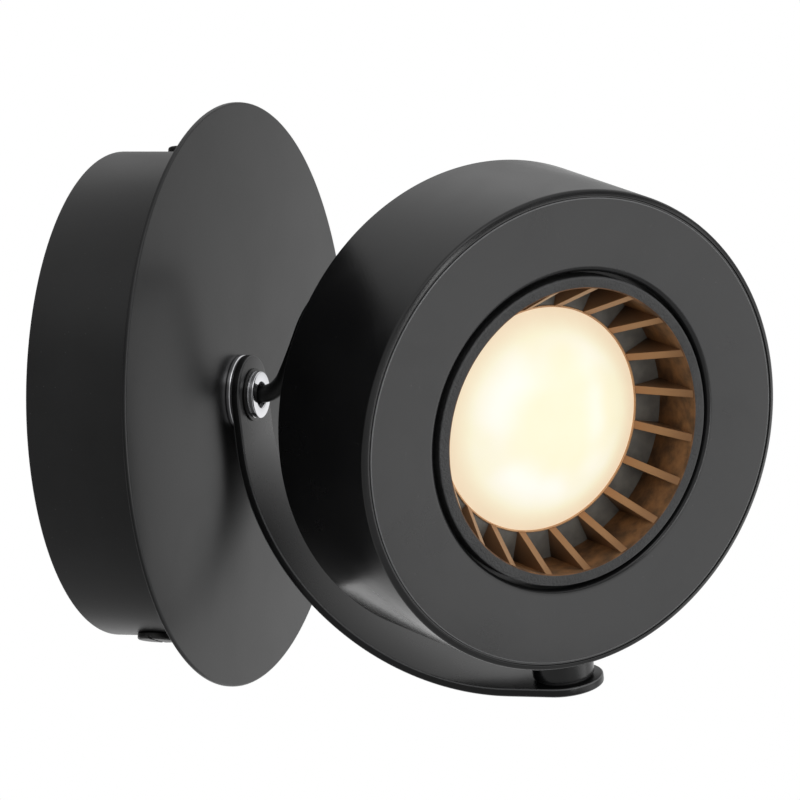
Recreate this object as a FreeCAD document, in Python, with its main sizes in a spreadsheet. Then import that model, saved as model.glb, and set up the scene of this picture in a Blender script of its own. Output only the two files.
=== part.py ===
"""Pivoting spotlight wall light: a round wall canopy, a curved flat-bar arm and a round lamp head.

The row frame has its origin in the wall plane at the centre of the canopy, +Z up and -Y out of the wall.
Four local frames are used, each with its own placement:
  canopy  x right, y up (turned with the canopy), z out of the wall
  arm     x across the strip, -y along the hanging arm, z out of the wall
  head    x right, y towards the swivel axis, z along the beam, origin in the middle of the head
  swing   the head's directions, origin on the pivot axis, a little in front of the head's middle
"""
import FreeCAD, Part
import math
import os

import Sketcher

Vector = FreeCAD.Vector

# Driving dimensions in millimetres and degrees, one cell each.
SIZES = {
    # pan heads: straight part of the height and flat part of the radius
    "head_side": 0.5,
    "head_crown": 0.7,
    # canopy
    "canopy_angle": 9.3,
    "drum_radius": 83.1,
    "drum_depth": 42.2,
    "drum_wall": 1.2,
    "drum_web": 1.2,
    "disc_radius": 100.0,
    "disc_thickness": 1.6,
    "disc_rounding": 0.5,
    # wall bracket and its screws
    "strap_width": 24.0,
    "strap_thickness": 1.5,
    "strap_bend": 1.0,
    "ear_height": 25.0,
    "ear_clearance": 0.4,
    "wall_hole_radius": 2.75,
    "wall_hole_pitch": 90.0,
    "side_screw_height": 18.5,
    "side_screw_radius": 2.0,
    "side_screw_hole": 2.25,
    "side_screw_head_radius": 6.75,
    "side_screw_head": 2.2,
    "side_screw_chamfer": 0.4,
    "side_screw_reach": 5.0,
    "earth_screw_radius": 1.75,
    "earth_screw_head_radius": 3.5,
    "earth_screw_head": 2.4,
    "earth_screw_offset": 13.0,
    # terminal block and driver inside the canopy
    "terminal_width": 30.0,
    "terminal_depth": 16.0,
    "terminal_height": 14.0,
    "terminal_offset": 27.0,
    "terminal_pitch": 10.0,
    "terminal_row_pitch": 8.0,
    "terminal_screw_radius": 1.8,
    "terminal_screw": 3.0,
    "terminal_well": 5.5,
    "terminal_wire_hole": 1.5,
    "terminal_wire_height": 5.0,
    "terminal_slit": 1.2,
    "terminal_slit_depth": 6.0,
    "driver_offset": 39.0,
    "driver_width": 34.0,
    "driver_gap": 5.0,
    "driver_height": 19.0,
    "driver_rounding": 2.0,
    "driver_tab_width": 12.0,
    "driver_tab_length": 8.0,
    "driver_tab_thickness": 3.0,
    "driver_screw_radius": 1.5,
    "driver_screw_head_radius": 2.9,
    "driver_screw_head": 2.0,
    "driver_screw_bite": 0.9,
    # cord grip inside the canopy
    "grip_offset": 30.0,
    "grip_width": 22.0,
    "grip_length": 10.0,
    "grip_height": 22.0,
    "grip_rounding": 1.5,
    "grip_floor": 4.0,
    "grip_screw_spread": 8.0,
    "lead_gap": 0.9,
    "lead_exit_height": 4.0,
    "lead_turn": 12.0,
    # swivel: hollow threaded nipple and what it clamps
    "nipple_radius": 5.0,
    "nipple_bore": 3.6,
    "nipple_tail": 2.0,
    "nipple_chamfer": 0.4,
    "thread_clearance": 0.05,
    "nipple_washer_radius": 15.0,
    "nipple_washer": 1.5,
    "nipple_nut_flats": 14.0,
    "nipple_nut": 3.0,
    "collar_radius": 13.6,
    "collar_thickness": 1.7,
    "collar_chamfer": 0.25,
    "front_washer_radius": 9.0,
    "front_washer": 0.7,
    "ring_nut_radius": 8.05,
    "ring_nut": 2.4,
    "ring_nut_lip": 1.1,
    "ring_nut_mouth": 4.45,
    "ring_nut_groove": 0.5,
    "ring_nut_chamfer": 0.35,
    # arm
    "arm_angle": 17.7,
    "strip_width": 27.0,
    "strip_thickness": 3.0,
    "strip_straight": 14.4,
    "strip_bend": 86.1,
    "strip_rounding": 0.4,
    "running_clearance": 0.05,
    "overshoot": 1.0,
    "foot_length": 15.9,
    # head pivot
    "head_angle": 37.0,
    "pivot_forward": 4.0,
    "pivot_screw_radius": 2.5,
    "pivot_screw_head_radius": 5.0,
    "pivot_socket_flats": 3.0,
    "pivot_socket_depth": 1.6,
    "pivot_washer_radius": 9.5,
    "pivot_washer": 0.8,
    "spacer_radius": 10.6,
    "spacer_length": 9.9,
    "saddle_radius": 9.0,
    "saddle_height": 2.6,
    "pivot_nut_flats": 8.0,
    "pivot_nut": 4.0,
    "pivot_tail": 1.0,
    # head housing
    "head_radius": 82.8,
    "head_depth": 54.6,
    "head_wall": 1.5,
    "face_thickness": 2.0,
    "face_hole_radius": 54.7,
    "face_rounding": 2.4,
    "lip_rounding": 3.0,
    "lip_depth": 4.5,
    "lip_thickness": 1.5,
    "rim_rounding": 0.5,
    "cover_recess": 2.5,
    "cover_thickness": 1.5,
    "cover_clearance": 0.15,
    "pillar_radius": 4.0,
    "pillar_inset": 11.1,
    "pillar_spigot": 2.0,
    "pillar_blind": 1.5,
    "pillar_count": 3.0,
    "cover_screw_radius": 2.0,
    "cover_screw_head_radius": 3.8,
    "cover_screw_head": 2.0,
    "cover_screw_length": 8.0,
    "bush_offset": 38.0,
    "bush_radius": 5.9,
    "bush_flange_radius": 8.0,
    "bush_flange": 2.6,
    "bush_crown": 0.6,
    "bush_snap_radius": 7.5,
    "bush_nose_radius": 4.4,
    "bush_nose": 6.35,
    "bush_inner_flange": 1.6,
    # lamp carrier
    "carrier_gap": 5.1,
    "carrier_thickness": 1.5,
    "carrier_clearance": 0.6,
    "clip_thickness": 0.6,
    "clip_width": 8.0,
    "clip_foot": 9.0,
    "clip_leg": 12.0,
    "clip_clearance": 0.3,
    # lamp
    "ring_radius": 53.3,
    "ring_inner_radius": 49.2,
    "ring_height": 7.55,
    "ring_proud": 0.5,
    "ring_rounding": 0.4,
    "sink_radius": 51.0,
    "sink_back_radius": 36.0,
    "sink_shoulder": 19.0,
    "sink_back": 9.0,
    "recess_depth": 21.3,
    "fin_count": 20.0,
    "fin_thickness": 3.0,
    "fin_root": 0.35,
    "fin_front_step": 0.5,
    "lens_radius": 38.6,
    "lens_clearance": 0.05,
    "lens_skirt": 5.0,
    "lens_wall": 2.0,
    "lens_rise": 10.0,
    "board_radius": 35.4,
    "board_thickness": 1.6,
    "board_gap": 1.75,
    "chip_size": 3.5,
    "chip_height": 1.0,
    "chip_circle": 22.0,
    "chip_count": 9.0,
    "cap_radius": 31.0,
    "cap_height": 5.0,
    "cap_chamfer": 1.0,
    "pin_spread": 26.5,
    "pin_width": 6.3,
    "pin_thickness": 0.8,
    "pin_length": 6.5,
    "plug_width": 9.0,
    "plug_thickness": 4.0,
    "plug_height": 7.5,
    "plug_gap": 1.0,
    "plug_slot_clearance": 0.1,
    # cord
    "cord_radius": 3.0,
    "wire_radius": 1.1,
    "wire_spread": 1.4,
    "wire_depth": 3.4,
}

# Places worked out from the sizes. Names on the right are sizes or earlier places.
PLACES = {
    "drum_inside": "drum_radius - drum_wall",
    "web_inside": "drum_depth - drum_web",
    "disc_front": "drum_depth + disc_thickness",
    "ear_face": "sqrt(drum_inside ^ 2 - (strap_width / 2) ^ 2) - ear_clearance",
    "nipple_hole": "nipple_radius + thread_clearance",
    "washer_inside": "web_inside - nipple_washer",
    "nut_inside": "washer_inside - nipple_nut",
    "nipple_inside": "nut_inside - nipple_tail + thread_clearance",
    "strip_back": "disc_front + collar_thickness",
    "strip_front": "strip_back + strip_thickness",
    "ring_back": "strip_front + front_washer",
    "ring_front": "ring_back + ring_nut",
    "ring_lip": "ring_front - ring_nut_lip",
    "nipple_front": "ring_lip - thread_clearance * 2",
    "driver_back": "web_inside - driver_height",
    "driver_side": "driver_offset + driver_width / 2",
    "driver_end": "sqrt((drum_inside - driver_gap) ^ 2 - driver_side ^ 2)",
    "driver_screw_y": "driver_end + driver_tab_length / 2",
    "driver_tab_face": "web_inside - driver_tab_thickness",
    "grip_hole_z": "web_inside - grip_height + cord_radius + grip_floor",
    "lead_exit_z": "driver_back + cord_radius + lead_exit_height",
    "lead_loop": "sqrt((drum_inside - cord_radius - lead_gap) ^ 2 - driver_offset ^ 2)",
    "bend_outside": "strip_bend + strip_thickness",
    "bend_centre_z": "strip_back + bend_outside",
    "pivot_reach": "bend_centre_z + foot_length",
    "strip_outside": "strip_straight + bend_outside",
    "strip_inside": "strip_straight + strip_bend",
    "head_drop": "strip_inside - pivot_washer - spacer_length - head_radius",
    "spacer_bottom": "head_radius + spacer_length",
    "pivot_outside": "strip_outside - head_drop",
    "pivot_hole": "pivot_screw_radius + thread_clearance",
    "head_inside": "head_radius - head_wall",
    "pillar_circle": "head_inside - pillar_inset",
    "carrier_radius": "head_inside - carrier_gap",
    "saddle_top": "head_inside - saddle_height",
    "pivot_nut_top": "saddle_top - pivot_nut",
    "pivot_end": "pivot_nut_top - pivot_tail",
    "face_front": "head_depth / 2",
    "face_inside": "face_front - face_thickness",
    "head_back": "-head_depth / 2",
    "lip_back": "face_front - lip_depth",
    "lip_outside": "face_hole_radius + lip_thickness",
    "cover_back": "head_back + cover_recess",
    "cover_front": "cover_back + cover_thickness",
    "cover_radius": "head_inside - cover_clearance",
    "cover_hole": "cover_screw_radius + thread_clearance",
    "ring_front_z": "face_front + ring_proud",
    "carrier_front": "ring_front_z - ring_height",
    "carrier_back": "carrier_front - carrier_thickness",
    "carrier_hole": "sink_radius + carrier_clearance",
    "spigot_hole": "pillar_spigot + thread_clearance",
    "spigot_end": "face_inside + pillar_blind",
    "floor_z": "ring_front_z - recess_depth",
    "lens_seat_z": "floor_z - lens_skirt",
    "board_front": "lens_seat_z - board_gap",
    "board_back": "board_front - board_thickness",
    "sink_shoulder_z": "carrier_front - sink_shoulder",
    "sink_back_z": "sink_shoulder_z - sink_back",
    "cap_back": "sink_back_z - cap_height",
    "plug_front": "cap_back - plug_gap",
    "bush_outside": "cover_back - bush_flange",
    "bush_tip": "bush_outside - bush_nose",
    "bush_inside": "cover_front + bush_inner_flange",
}

# Route of the free cord in the row frame: the points between the nipple and the bush on the head.
CORD_ROUTE = [
    (0.0, -59.0, 0.0),
    (-1.5, -65.3, 12.2),
    (-0.6, -70.3, 30.5),
    (9.4, -81.6, 43.0),
    (16.8, -97.2, 44.4),
]
CORD_LAST_RUN = 9.3

document = FreeCAD.newDocument("spotlight")


def make_sheet(name, cells):
    """A sheet with one aliased cell in column B for each name."""
    sheet = document.addObject("Spreadsheet::Sheet", name)
    for row, (alias, content) in enumerate(cells.items(), start=1):
        sheet.set(f"A{row}", alias)
        sheet.set(f"B{row}", content)
        sheet.setAlias(f"B{row}", alias)
    return sheet


def bound(text):
    """An expression with each size and place name given its sheet."""
    words = []
    word = ""
    for letter in text + " ":
        if letter.isalnum() or letter == "_":
            word += letter
            continue
        if word in SIZES:
            word = "Sizes." + word
        elif word in PLACES:
            word = "Places." + word
        words.append(word + letter)
        word = ""
    return "".join(words).strip()


sizes = make_sheet("Sizes", {name: str(value) for name, value in SIZES.items()})
places = make_sheet("Places", {name: "=" + bound(text) for name, text in PLACES.items()})
document.recompute()


def value(name):
    """The number in a size's or place's cell."""
    return float((sizes if name in SIZES else places).get(name))


# ---------------------------------------------------------------- frames

OUT_OF_WALL = FreeCAD.Rotation(Vector(1, 0, 0), 90)


def turned(angle):
    """A frame whose z leaves the wall, turned about that axis."""
    return OUT_OF_WALL * FreeCAD.Rotation(Vector(0, 0, 1), angle)


CANOPY = FreeCAD.Placement(Vector(), turned(-value("canopy_angle")))
ARM = FreeCAD.Placement(Vector(), turned(value("arm_angle")))
PIVOT = ARM.multVec(Vector(0, -value("head_drop"), value("pivot_reach")))
SWING = FreeCAD.Placement(
    PIVOT, turned(value("arm_angle")) * FreeCAD.Rotation(Vector(0, 1, 0), -value("head_angle"))
)
HEAD = FreeCAD.Placement(SWING.multVec(Vector(0, 0, -value("pivot_forward"))), SWING.Rotation)

# ---------------------------------------------------------------- modelling helpers


def new_body(name, placement):
    """An empty body named after its file."""
    body = document.addObject("PartDesign::Body", name)
    body.Label = name
    body.AllowCompound = True
    body.Placement = placement
    return body


def origin(body, role):
    """The body's own origin plane or axis with that role."""
    return next(feature for feature in body.Origin.OriginFeatures if feature.Role == role)


def new_sketch(body, plane, at=("0", "0", "0")):
    """A sketch on an origin plane, moved in its own x, y and normal."""
    sketch = body.newObject("Sketcher::SketchObject", body.Label + "_sketch")
    sketch.AttachmentSupport = (origin(body, plane), [""])
    sketch.MapMode = "FlatFace"
    for letter, offset in zip("xyz", at):
        if offset != "0":
            sketch.setExpression(f"AttachmentOffset.Base.{letter}", bound(offset))
    return sketch


def hold_point(sketch, geometry, point, x, y):
    """Fixes a point of the sketch at the coordinates that two expressions give."""
    for kind, text in (("DistanceX", x), ("DistanceY", y)):
        index = sketch.addConstraint(Sketcher.Constraint(kind, -1, 1, geometry, point, 1.0))
        sketch.setExpression(f"Constraints[{index}]", bound(text))


def outline(sketch, corners):
    """A closed outline of straight lines through corners given as expressions."""
    first = sketch.GeometryCount
    count = len(corners)
    start = [
        Vector(math.cos(2 * math.pi * k / count), math.sin(2 * math.pi * k / count), 0)
        for k in range(count)
    ]
    for k in range(count):
        sketch.addGeometry(Part.LineSegment(start[k], start[(k + 1) % count]), False)
    for k, (x, y) in enumerate(corners):
        joined = Sketcher.Constraint("Coincident", first + k, 2, first + (k + 1) % count, 1)
        sketch.addConstraint(joined)
        hold_point(sketch, first + k, 1, x, y)


def rectangle(sketch, x0, x1, y0, y1):
    """A rectangle between two x and two y expressions."""
    outline(sketch, [(x0, y0), (x1, y0), (x1, y1), (x0, y1)])


def circle(sketch, radius, x="0", y="0"):
    """A circle with its radius and centre bound to expressions."""
    index = sketch.addGeometry(Part.Circle(Vector(), Vector(0, 0, 1), 1.0), False)
    hold_point(sketch, index, 3, x, y)
    size = sketch.addConstraint(Sketcher.Constraint("Radius", index, 1.0))
    sketch.setExpression(f"Constraints[{size}]", bound(radius))


def hexagon(sketch, flats):
    """A regular hexagon of that width across its flats, centred on the sketch."""
    corner = f"({flats}) / sqrt(3)"
    outline(sketch, [(f"{corner} * cos({60 * k})", f"{corner} * sin({60 * k})") for k in range(6)])


def feature(body, kind, sketch, **expressions):
    """A sketch-based feature with expressions on its sizes, made the body's tip."""
    made = body.newObject("PartDesign::" + kind, body.Label + "_" + kind.lower())
    made.Profile = sketch
    sketch.Visibility = False
    for name, text in expressions.items():
        made.setExpression(name, bound(text))
    body.Tip = made
    return made


def pad(body, sketch, length, midplane=False):
    """Adds material along the sketch's normal, or half to each side of it."""
    made = feature(body, "Pad", sketch, Length=length)
    made.Midplane = midplane
    return made


def revolve(body, sketch, axis="V_Axis", angle="360"):
    """Adds material turned about an axis of the sketch."""
    made = feature(body, "Revolution", sketch, Angle=angle)
    made.ReferenceAxis = (sketch, [axis])
    return made


def cut(body, kind, sketch, settings, **expressions):
    """A pocket or groove that has to remove material."""
    document.recompute()
    before = body.Shape.Volume
    made = feature(body, kind, sketch, **expressions)
    for name, setting in settings.items():
        setattr(made, name, setting)
    document.recompute()
    if body.Shape.Volume > before - 1e-3:
        raise RuntimeError(f"{body.Label}: {made.Name} cuts nothing")
    return made


def cut_through(body, sketch):
    """A pocket right through the body, both ways from the sketch."""
    return cut(body, "Pocket", sketch, {"Type": 1, "Midplane": True})


def cut_depth(body, sketch, depth, reverse=False):
    """A pocket of a given depth against the sketch's normal, or along it when reversed."""
    return cut(body, "Pocket", sketch, {"Reversed": reverse}, Length=depth)


def cut_turned(body, sketch):
    """A groove turned about the sketch's own vertical axis."""
    return cut(body, "Groove", sketch, {"ReferenceAxis": (sketch, ["V_Axis"]), "Angle": 360})


def pattern_round(body, features, count):
    """Copies of the features evenly round the body's z axis."""
    made = body.newObject("PartDesign::PolarPattern", body.Label + "_pattern")
    made.Originals = features
    made.Axis = (origin(body, "Z_Axis"), [""])
    made.Angle = 360
    made.setExpression("Occurrences", bound(count))
    body.Tip = made
    return made


def round_edges(body, radius, wanted):
    """A fillet on the edges for which wanted(edge) is true."""
    document.recompute()
    base = body.Tip
    names = [f"Edge{k}" for k, edge in enumerate(base.Shape.Edges, start=1) if wanted(edge)]
    if not names:
        raise RuntimeError(f"{body.Label}: no edge to round")
    made = body.newObject("PartDesign::Fillet", body.Label + "_fillet")
    made.Base = (base, names)
    made.setExpression("Radius", bound(radius))
    body.Tip = made
    return made


def turned_piece(name, placement, corners, plane="XZ_Plane", at=("0", "0", "0")):
    """A piece turned about the sketch's vertical axis from (radius, height) corners."""
    body = new_body(name, placement)
    sketch = new_sketch(body, plane, at)
    outline(sketch, corners)
    revolve(body, sketch)
    return body


def washer_piece(name, placement, radius, hole, low, high):
    """A flat ring about z between two heights."""
    return turned_piece(name, placement, [(hole, low), (radius, low), (radius, high), (hole, high)])


def near(a, b):
    """True for two lengths that are the same to a hundredth of a millimetre."""
    return abs(a - b) < 0.01


def is_round(edge, radius, height):
    """True for a circular edge of that radius at that height on the body's z axis."""
    if not isinstance(edge.Curve, Part.Circle):
        return False
    return near(edge.Curve.Radius, radius) and near(edge.Curve.Center.z, height)


# ---------------------------------------------------------------- canopy


def wall_bracket():
    """Pressed steel strap with two ears that take the side screws."""
    body = new_body("wall_bracket", CANOPY)
    sketch = new_sketch(body, "YZ_Plane")
    inner = "(ear_face - strap_thickness)"
    outline(sketch, [
        ("-ear_face", "0"), ("ear_face", "0"), ("ear_face", "ear_height"), (inner, "ear_height"),
        (inner, "strap_thickness"), ("-" + inner, "strap_thickness"),
        ("-" + inner, "ear_height"), ("-ear_face", "ear_height"),
    ])
    pad(body, sketch, "strap_width", midplane=True)
    inside = value("ear_face") - value("strap_thickness")

    def corner(edge, y, z):
        middle = edge.CenterOfMass
        return near(abs(middle.y), y) and near(middle.z, z) and near(middle.x, 0)

    round_edges(body, "strap_bend", lambda e: corner(e, inside, value("strap_thickness")))
    round_edges(body, "strap_bend + strap_thickness", lambda e: corner(e, value("ear_face"), 0))
    holes = new_sketch(body, "XY_Plane")
    for side in ("", "-"):
        circle(holes, "wall_hole_radius", "0", side + "wall_hole_pitch / 2")
    circle(holes, "earth_screw_radius + thread_clearance", "0", "earth_screw_offset")
    cut_through(body, holes)
    threads = new_sketch(body, "XZ_Plane")
    circle(threads, "side_screw_radius + thread_clearance", "0", "side_screw_height")
    cut_through(body, threads)


def earth_screw():
    """Pan-head screw for the earth lead, flush with the back of the strap."""
    turned_piece("earth_screw", CANOPY, [
        ("0", "0"), ("earth_screw_radius", "0"), ("earth_screw_radius", "strap_thickness"),
        ("earth_screw_head_radius", "strap_thickness"),
        ("earth_screw_head_radius", "strap_thickness + earth_screw_head * head_side"),
        ("earth_screw_head_radius * head_crown", "strap_thickness + earth_screw_head"),
        ("0", "strap_thickness + earth_screw_head"),
    ], at=("0", "0", "-earth_screw_offset"))


def canopy_drum():
    """Drawn steel cup, open to the wall."""
    body = turned_piece("canopy_drum", CANOPY, [
        ("drum_inside", "0"), ("drum_radius", "0"), ("drum_radius", "drum_depth"),
        ("nipple_hole", "drum_depth"), ("nipple_hole", "web_inside"), ("drum_inside", "web_inside"),
    ])
    holes = new_sketch(body, "XZ_Plane")
    circle(holes, "side_screw_hole", "0", "side_screw_height")
    cut_through(body, holes)
    pilots = new_sketch(body, "XY_Plane", ("0", "0", "web_inside"))
    for side in ("", "-"):
        circle(pilots, "driver_screw_radius + thread_clearance", "driver_offset",
               side + "driver_screw_y")
        circle(pilots, "driver_screw_radius + thread_clearance", side + "grip_screw_spread",
               "-grip_offset")
    cut_depth(body, pilots, "drum_web", reverse=True)


def front_disc():
    """Round front plate, wider than the drum behind it."""
    body = washer_piece("front_disc", CANOPY, "disc_radius", "nipple_hole",
                        "drum_depth", "disc_front")
    radius = value("disc_radius")
    heights = (value("disc_front"), value("drum_depth"))
    round_edges(body, "disc_rounding",
                lambda e: is_round(e, radius, heights[0]) or is_round(e, radius, heights[1]))


def side_thumbscrews():
    """Two flat-headed screws through the drum's side into the ears."""
    body = turned_piece("side_thumbscrews", CANOPY, [
        ("0", "ear_face - side_screw_reach"),
        ("side_screw_radius", "ear_face - side_screw_reach"),
        ("side_screw_radius", "drum_radius"),
        ("side_screw_head_radius", "drum_radius"),
        ("side_screw_head_radius", "drum_radius + side_screw_head - side_screw_chamfer"),
        ("side_screw_head_radius - side_screw_chamfer", "drum_radius + side_screw_head"),
        ("0", "drum_radius + side_screw_head"),
    ], plane="XY_Plane", at=("0", "0", "side_screw_height"))
    pattern_round(body, [body.Tip], "2")


TERMINALS = [
    (f"{column} * terminal_pitch", f"terminal_offset + {row} * terminal_row_pitch / 2")
    for column in (-1, 0, 1) for row in (-1, 1)
]


def terminal_block():
    """Three-pole block on the strap."""
    body = new_body("terminal_block", CANOPY)
    sketch = new_sketch(body, "XY_Plane", ("0", "terminal_offset", "strap_thickness"))
    rectangle(sketch, "-terminal_width / 2", "terminal_width / 2",
              "-terminal_depth / 2", "terminal_depth / 2")
    pad(body, sketch, "terminal_height")
    top = "strap_thickness + terminal_height"
    slits = new_sketch(body, "XY_Plane", ("0", "terminal_offset", top))
    for side in (-1, 1):
        middle = f"{side} * terminal_pitch / 2"
        rectangle(slits, f"{middle} - terminal_slit / 2", f"{middle} + terminal_slit / 2",
                  "-terminal_depth", "terminal_depth")
    cut_depth(body, slits, "terminal_slit_depth")
    wells = new_sketch(body, "XY_Plane", ("0", "0", top))
    for x, y in TERMINALS:
        circle(wells, "terminal_screw_radius + thread_clearance", x, y)
    cut_depth(body, wells, "terminal_well")
    wires = new_sketch(body, "XZ_Plane")
    for column in (-1, 0, 1):
        circle(wires, "terminal_wire_hole", f"{column} * terminal_pitch",
               "strap_thickness + terminal_wire_height")
    cut_through(body, wires)


def terminal_screws():
    """Six clamping screws, standing on the bottom of their wells."""
    body = new_body("terminal_screws", CANOPY)
    bottom = "strap_thickness + terminal_height - terminal_well"
    sketch = new_sketch(body, "XY_Plane", ("0", "0", bottom))
    for x, y in TERMINALS:
        circle(sketch, "terminal_screw_radius", x, y)
    pad(body, sketch, "terminal_screw")


def driver_case():
    """Moulded case of the lamp's electronic transformer, screwed to the drum's front wall."""
    body = new_body("driver_case", CANOPY)
    sketch = new_sketch(body, "XY_Plane", ("driver_offset", "0", "driver_back"))
    rectangle(sketch, "-driver_width / 2", "driver_width / 2", "-driver_end", "driver_end")
    pad(body, sketch, "driver_height")
    low, high = value("driver_back"), value("web_inside")
    round_edges(body, "driver_rounding",
                lambda e: near(e.CenterOfMass.z, (low + high) / 2) or near(e.CenterOfMass.z, low))
    tabs = new_sketch(body, "XY_Plane", ("driver_offset", "0", "driver_tab_face"))
    reach = "(driver_end + driver_tab_length)"
    rectangle(tabs, "-driver_tab_width / 2", "driver_tab_width / 2", "-" + reach, reach)
    pad(body, tabs, "driver_tab_thickness")
    holes = new_sketch(body, "XY_Plane")
    for side in ("", "-"):
        circle(holes, "driver_screw_radius + thread_clearance", "driver_offset",
               side + "driver_screw_y")
    cut_through(body, holes)


def web_screw(body, x, y, seat):
    """One pan-head screw along z that bites into the drum's front wall."""
    sketch = new_sketch(body, "XZ_Plane", (x, "0", "-(" + y + ")"))
    outline(sketch, [
        ("0", f"{seat} - driver_screw_head"),
        ("driver_screw_head_radius * head_crown", f"{seat} - driver_screw_head"),
        ("driver_screw_head_radius", f"{seat} - driver_screw_head * head_side"),
        ("driver_screw_head_radius", seat), ("driver_screw_radius", seat),
        ("driver_screw_radius", "web_inside + driver_screw_bite"),
        ("0", "web_inside + driver_screw_bite"),
    ])
    revolve(body, sketch)


def driver_screws():
    """Two screws in the driver's tabs."""
    body = new_body("driver_screws", CANOPY)
    for side in ("", "-"):
        web_screw(body, "driver_offset", side + "driver_screw_y", "driver_tab_face")


def cord_grip():
    """Moulded grip that holds the lead to the drum's front wall."""
    body = new_body("cord_grip", CANOPY)
    sketch = new_sketch(body, "XY_Plane", ("0", "-grip_offset", "web_inside - grip_height"))
    rectangle(sketch, "-grip_width / 2", "grip_width / 2", "-grip_length / 2", "grip_length / 2")
    pad(body, sketch, "grip_height")
    middle = value("web_inside") - value("grip_height") / 2
    round_edges(body, "grip_rounding", lambda e: near(e.CenterOfMass.z, middle))
    bore = new_sketch(body, "XZ_Plane")
    circle(bore, "cord_radius + thread_clearance", "0", "grip_hole_z")
    cut_through(body, bore)
    holes = new_sketch(body, "XY_Plane")
    for side in ("", "-"):
        circle(holes, "driver_screw_radius + thread_clearance", side + "grip_screw_spread",
               "-grip_offset")
    cut_through(body, holes)


def grip_screws():
    """Two screws in the cord grip."""
    body = new_body("grip_screws", CANOPY)
    for side in ("", "-"):
        web_screw(body, side + "grip_screw_spread", "-grip_offset", "(web_inside - grip_height)")


# ---------------------------------------------------------------- swivel


def threaded_nipple():
    """Hollow threaded tube that carries the arm and passes the lead."""
    inner = "(nipple_radius - nipple_chamfer)"
    turned_piece("threaded_nipple", CANOPY, [
        ("nipple_bore", "nipple_inside"), (inner, "nipple_inside"),
        ("nipple_radius", "nipple_inside + nipple_chamfer"),
        ("nipple_radius", "nipple_front - nipple_chamfer"), (inner, "nipple_front"),
        ("nipple_bore", "nipple_front"),
    ])


def nipple_washer():
    """Wide washer inside the canopy's front wall."""
    washer_piece("nipple_washer", CANOPY, "nipple_washer_radius", "nipple_hole",
                 "washer_inside", "web_inside")


def nipple_nut():
    """Thin hexagon nut on the nipple inside the canopy."""
    body = new_body("nipple_nut", CANOPY)
    sketch = new_sketch(body, "XY_Plane", ("0", "0", "nut_inside"))
    hexagon(sketch, "nipple_nut_flats")
    circle(sketch, "nipple_hole")
    pad(body, sketch, "nipple_nut")


def swivel_collar():
    """Bright collar between the front disc and the arm."""
    edge = "(collar_radius - collar_chamfer)"
    turned_piece("swivel_collar", CANOPY, [
        ("nipple_hole", "disc_front"), (edge, "disc_front"),
        ("collar_radius", "disc_front + collar_chamfer"),
        ("collar_radius", "strip_back - collar_chamfer"), (edge, "strip_back"),
        ("nipple_hole", "strip_back"),
    ])


def front_washer():
    """Dark washer between the arm and the ring nut."""
    washer_piece("front_washer", CANOPY, "front_washer_radius", "nipple_hole",
                 "strip_front", "ring_back")


def ring_nut():
    """Round nut with a lip over the nipple's end and one turned groove."""
    middle = "(ring_back + ring_lip) / 2"
    groove = "(ring_nut_radius - ring_nut_groove)"
    edge = "(ring_nut_radius - ring_nut_chamfer)"
    turned_piece("ring_nut", CANOPY, [
        ("nipple_hole", "ring_back"), (edge, "ring_back"),
        ("ring_nut_radius", "ring_back + ring_nut_chamfer"),
        (groove, middle),
        ("ring_nut_radius", "ring_lip"),
        ("ring_nut_radius", "ring_front - ring_nut_chamfer"), (edge, "ring_front"),
        ("ring_nut_mouth + ring_nut_chamfer", "ring_front"),
        ("ring_nut_mouth", "ring_front - ring_nut_chamfer"), ("ring_nut_mouth", "ring_lip"),
        ("nipple_hole", "ring_lip"),
    ])


# ---------------------------------------------------------------- arm


def arm_strip():
    """Flat bar bent through a quarter circle, round at both ends."""
    body = new_body("arm_strip", ARM)
    half = "strip_width / 2"
    lug = new_sketch(body, "XZ_Plane")
    rectangle(lug, "0", half, "strip_back", "strip_front")
    revolve(body, lug, angle="180")
    top = new_sketch(body, "XY_Plane", ("0", "0", "strip_back"))
    rectangle(top, "-" + half, half, "-strip_straight", "0")
    pad(body, top, "strip_thickness")
    bend = new_sketch(body, "XY_Plane", ("0", "-strip_straight", "bend_centre_z"))
    rectangle(bend, "-" + half, half, "-bend_outside", "-strip_bend")
    revolve(body, bend, axis="H_Axis", angle="90")
    foot = new_sketch(body, "XZ_Plane", ("0", "0", "strip_inside"))
    rectangle(foot, "-" + half, half, "bend_centre_z", "pivot_reach")
    pad(body, foot, "strip_thickness")
    end = new_sketch(body, "XY_Plane", ("0", "0", "pivot_reach"))
    rectangle(end, "0", half, "-strip_outside", "-strip_inside")
    revolve(body, end, angle="180").Reversed = True
    document.recompute()

    def long_edge(edge):
        return edge.Length > value("strip_thickness") + 0.01

    round_edges(body, "strip_rounding", long_edge)
    swivel = new_sketch(body, "XY_Plane")
    circle(swivel, "nipple_radius + running_clearance")
    cut_depth(body, swivel, "strip_front + overshoot", reverse=True)
    seat = new_sketch(body, "XY_Plane", ("0", "0", "pivot_reach"))
    wide = "(pivot_screw_head_radius + running_clearance)"
    hole = "(pivot_screw_radius + running_clearance)"
    outline(seat, [
        ("0", "-strip_outside - overshoot"), (wide, "-strip_outside - overshoot"),
        (wide, "-strip_outside"), (hole, f"-strip_outside + {wide} - {hole}"),
        (hole, "-strip_inside + overshoot"), ("0", "-strip_inside + overshoot"),
    ])
    cut_turned(body, seat)


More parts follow.
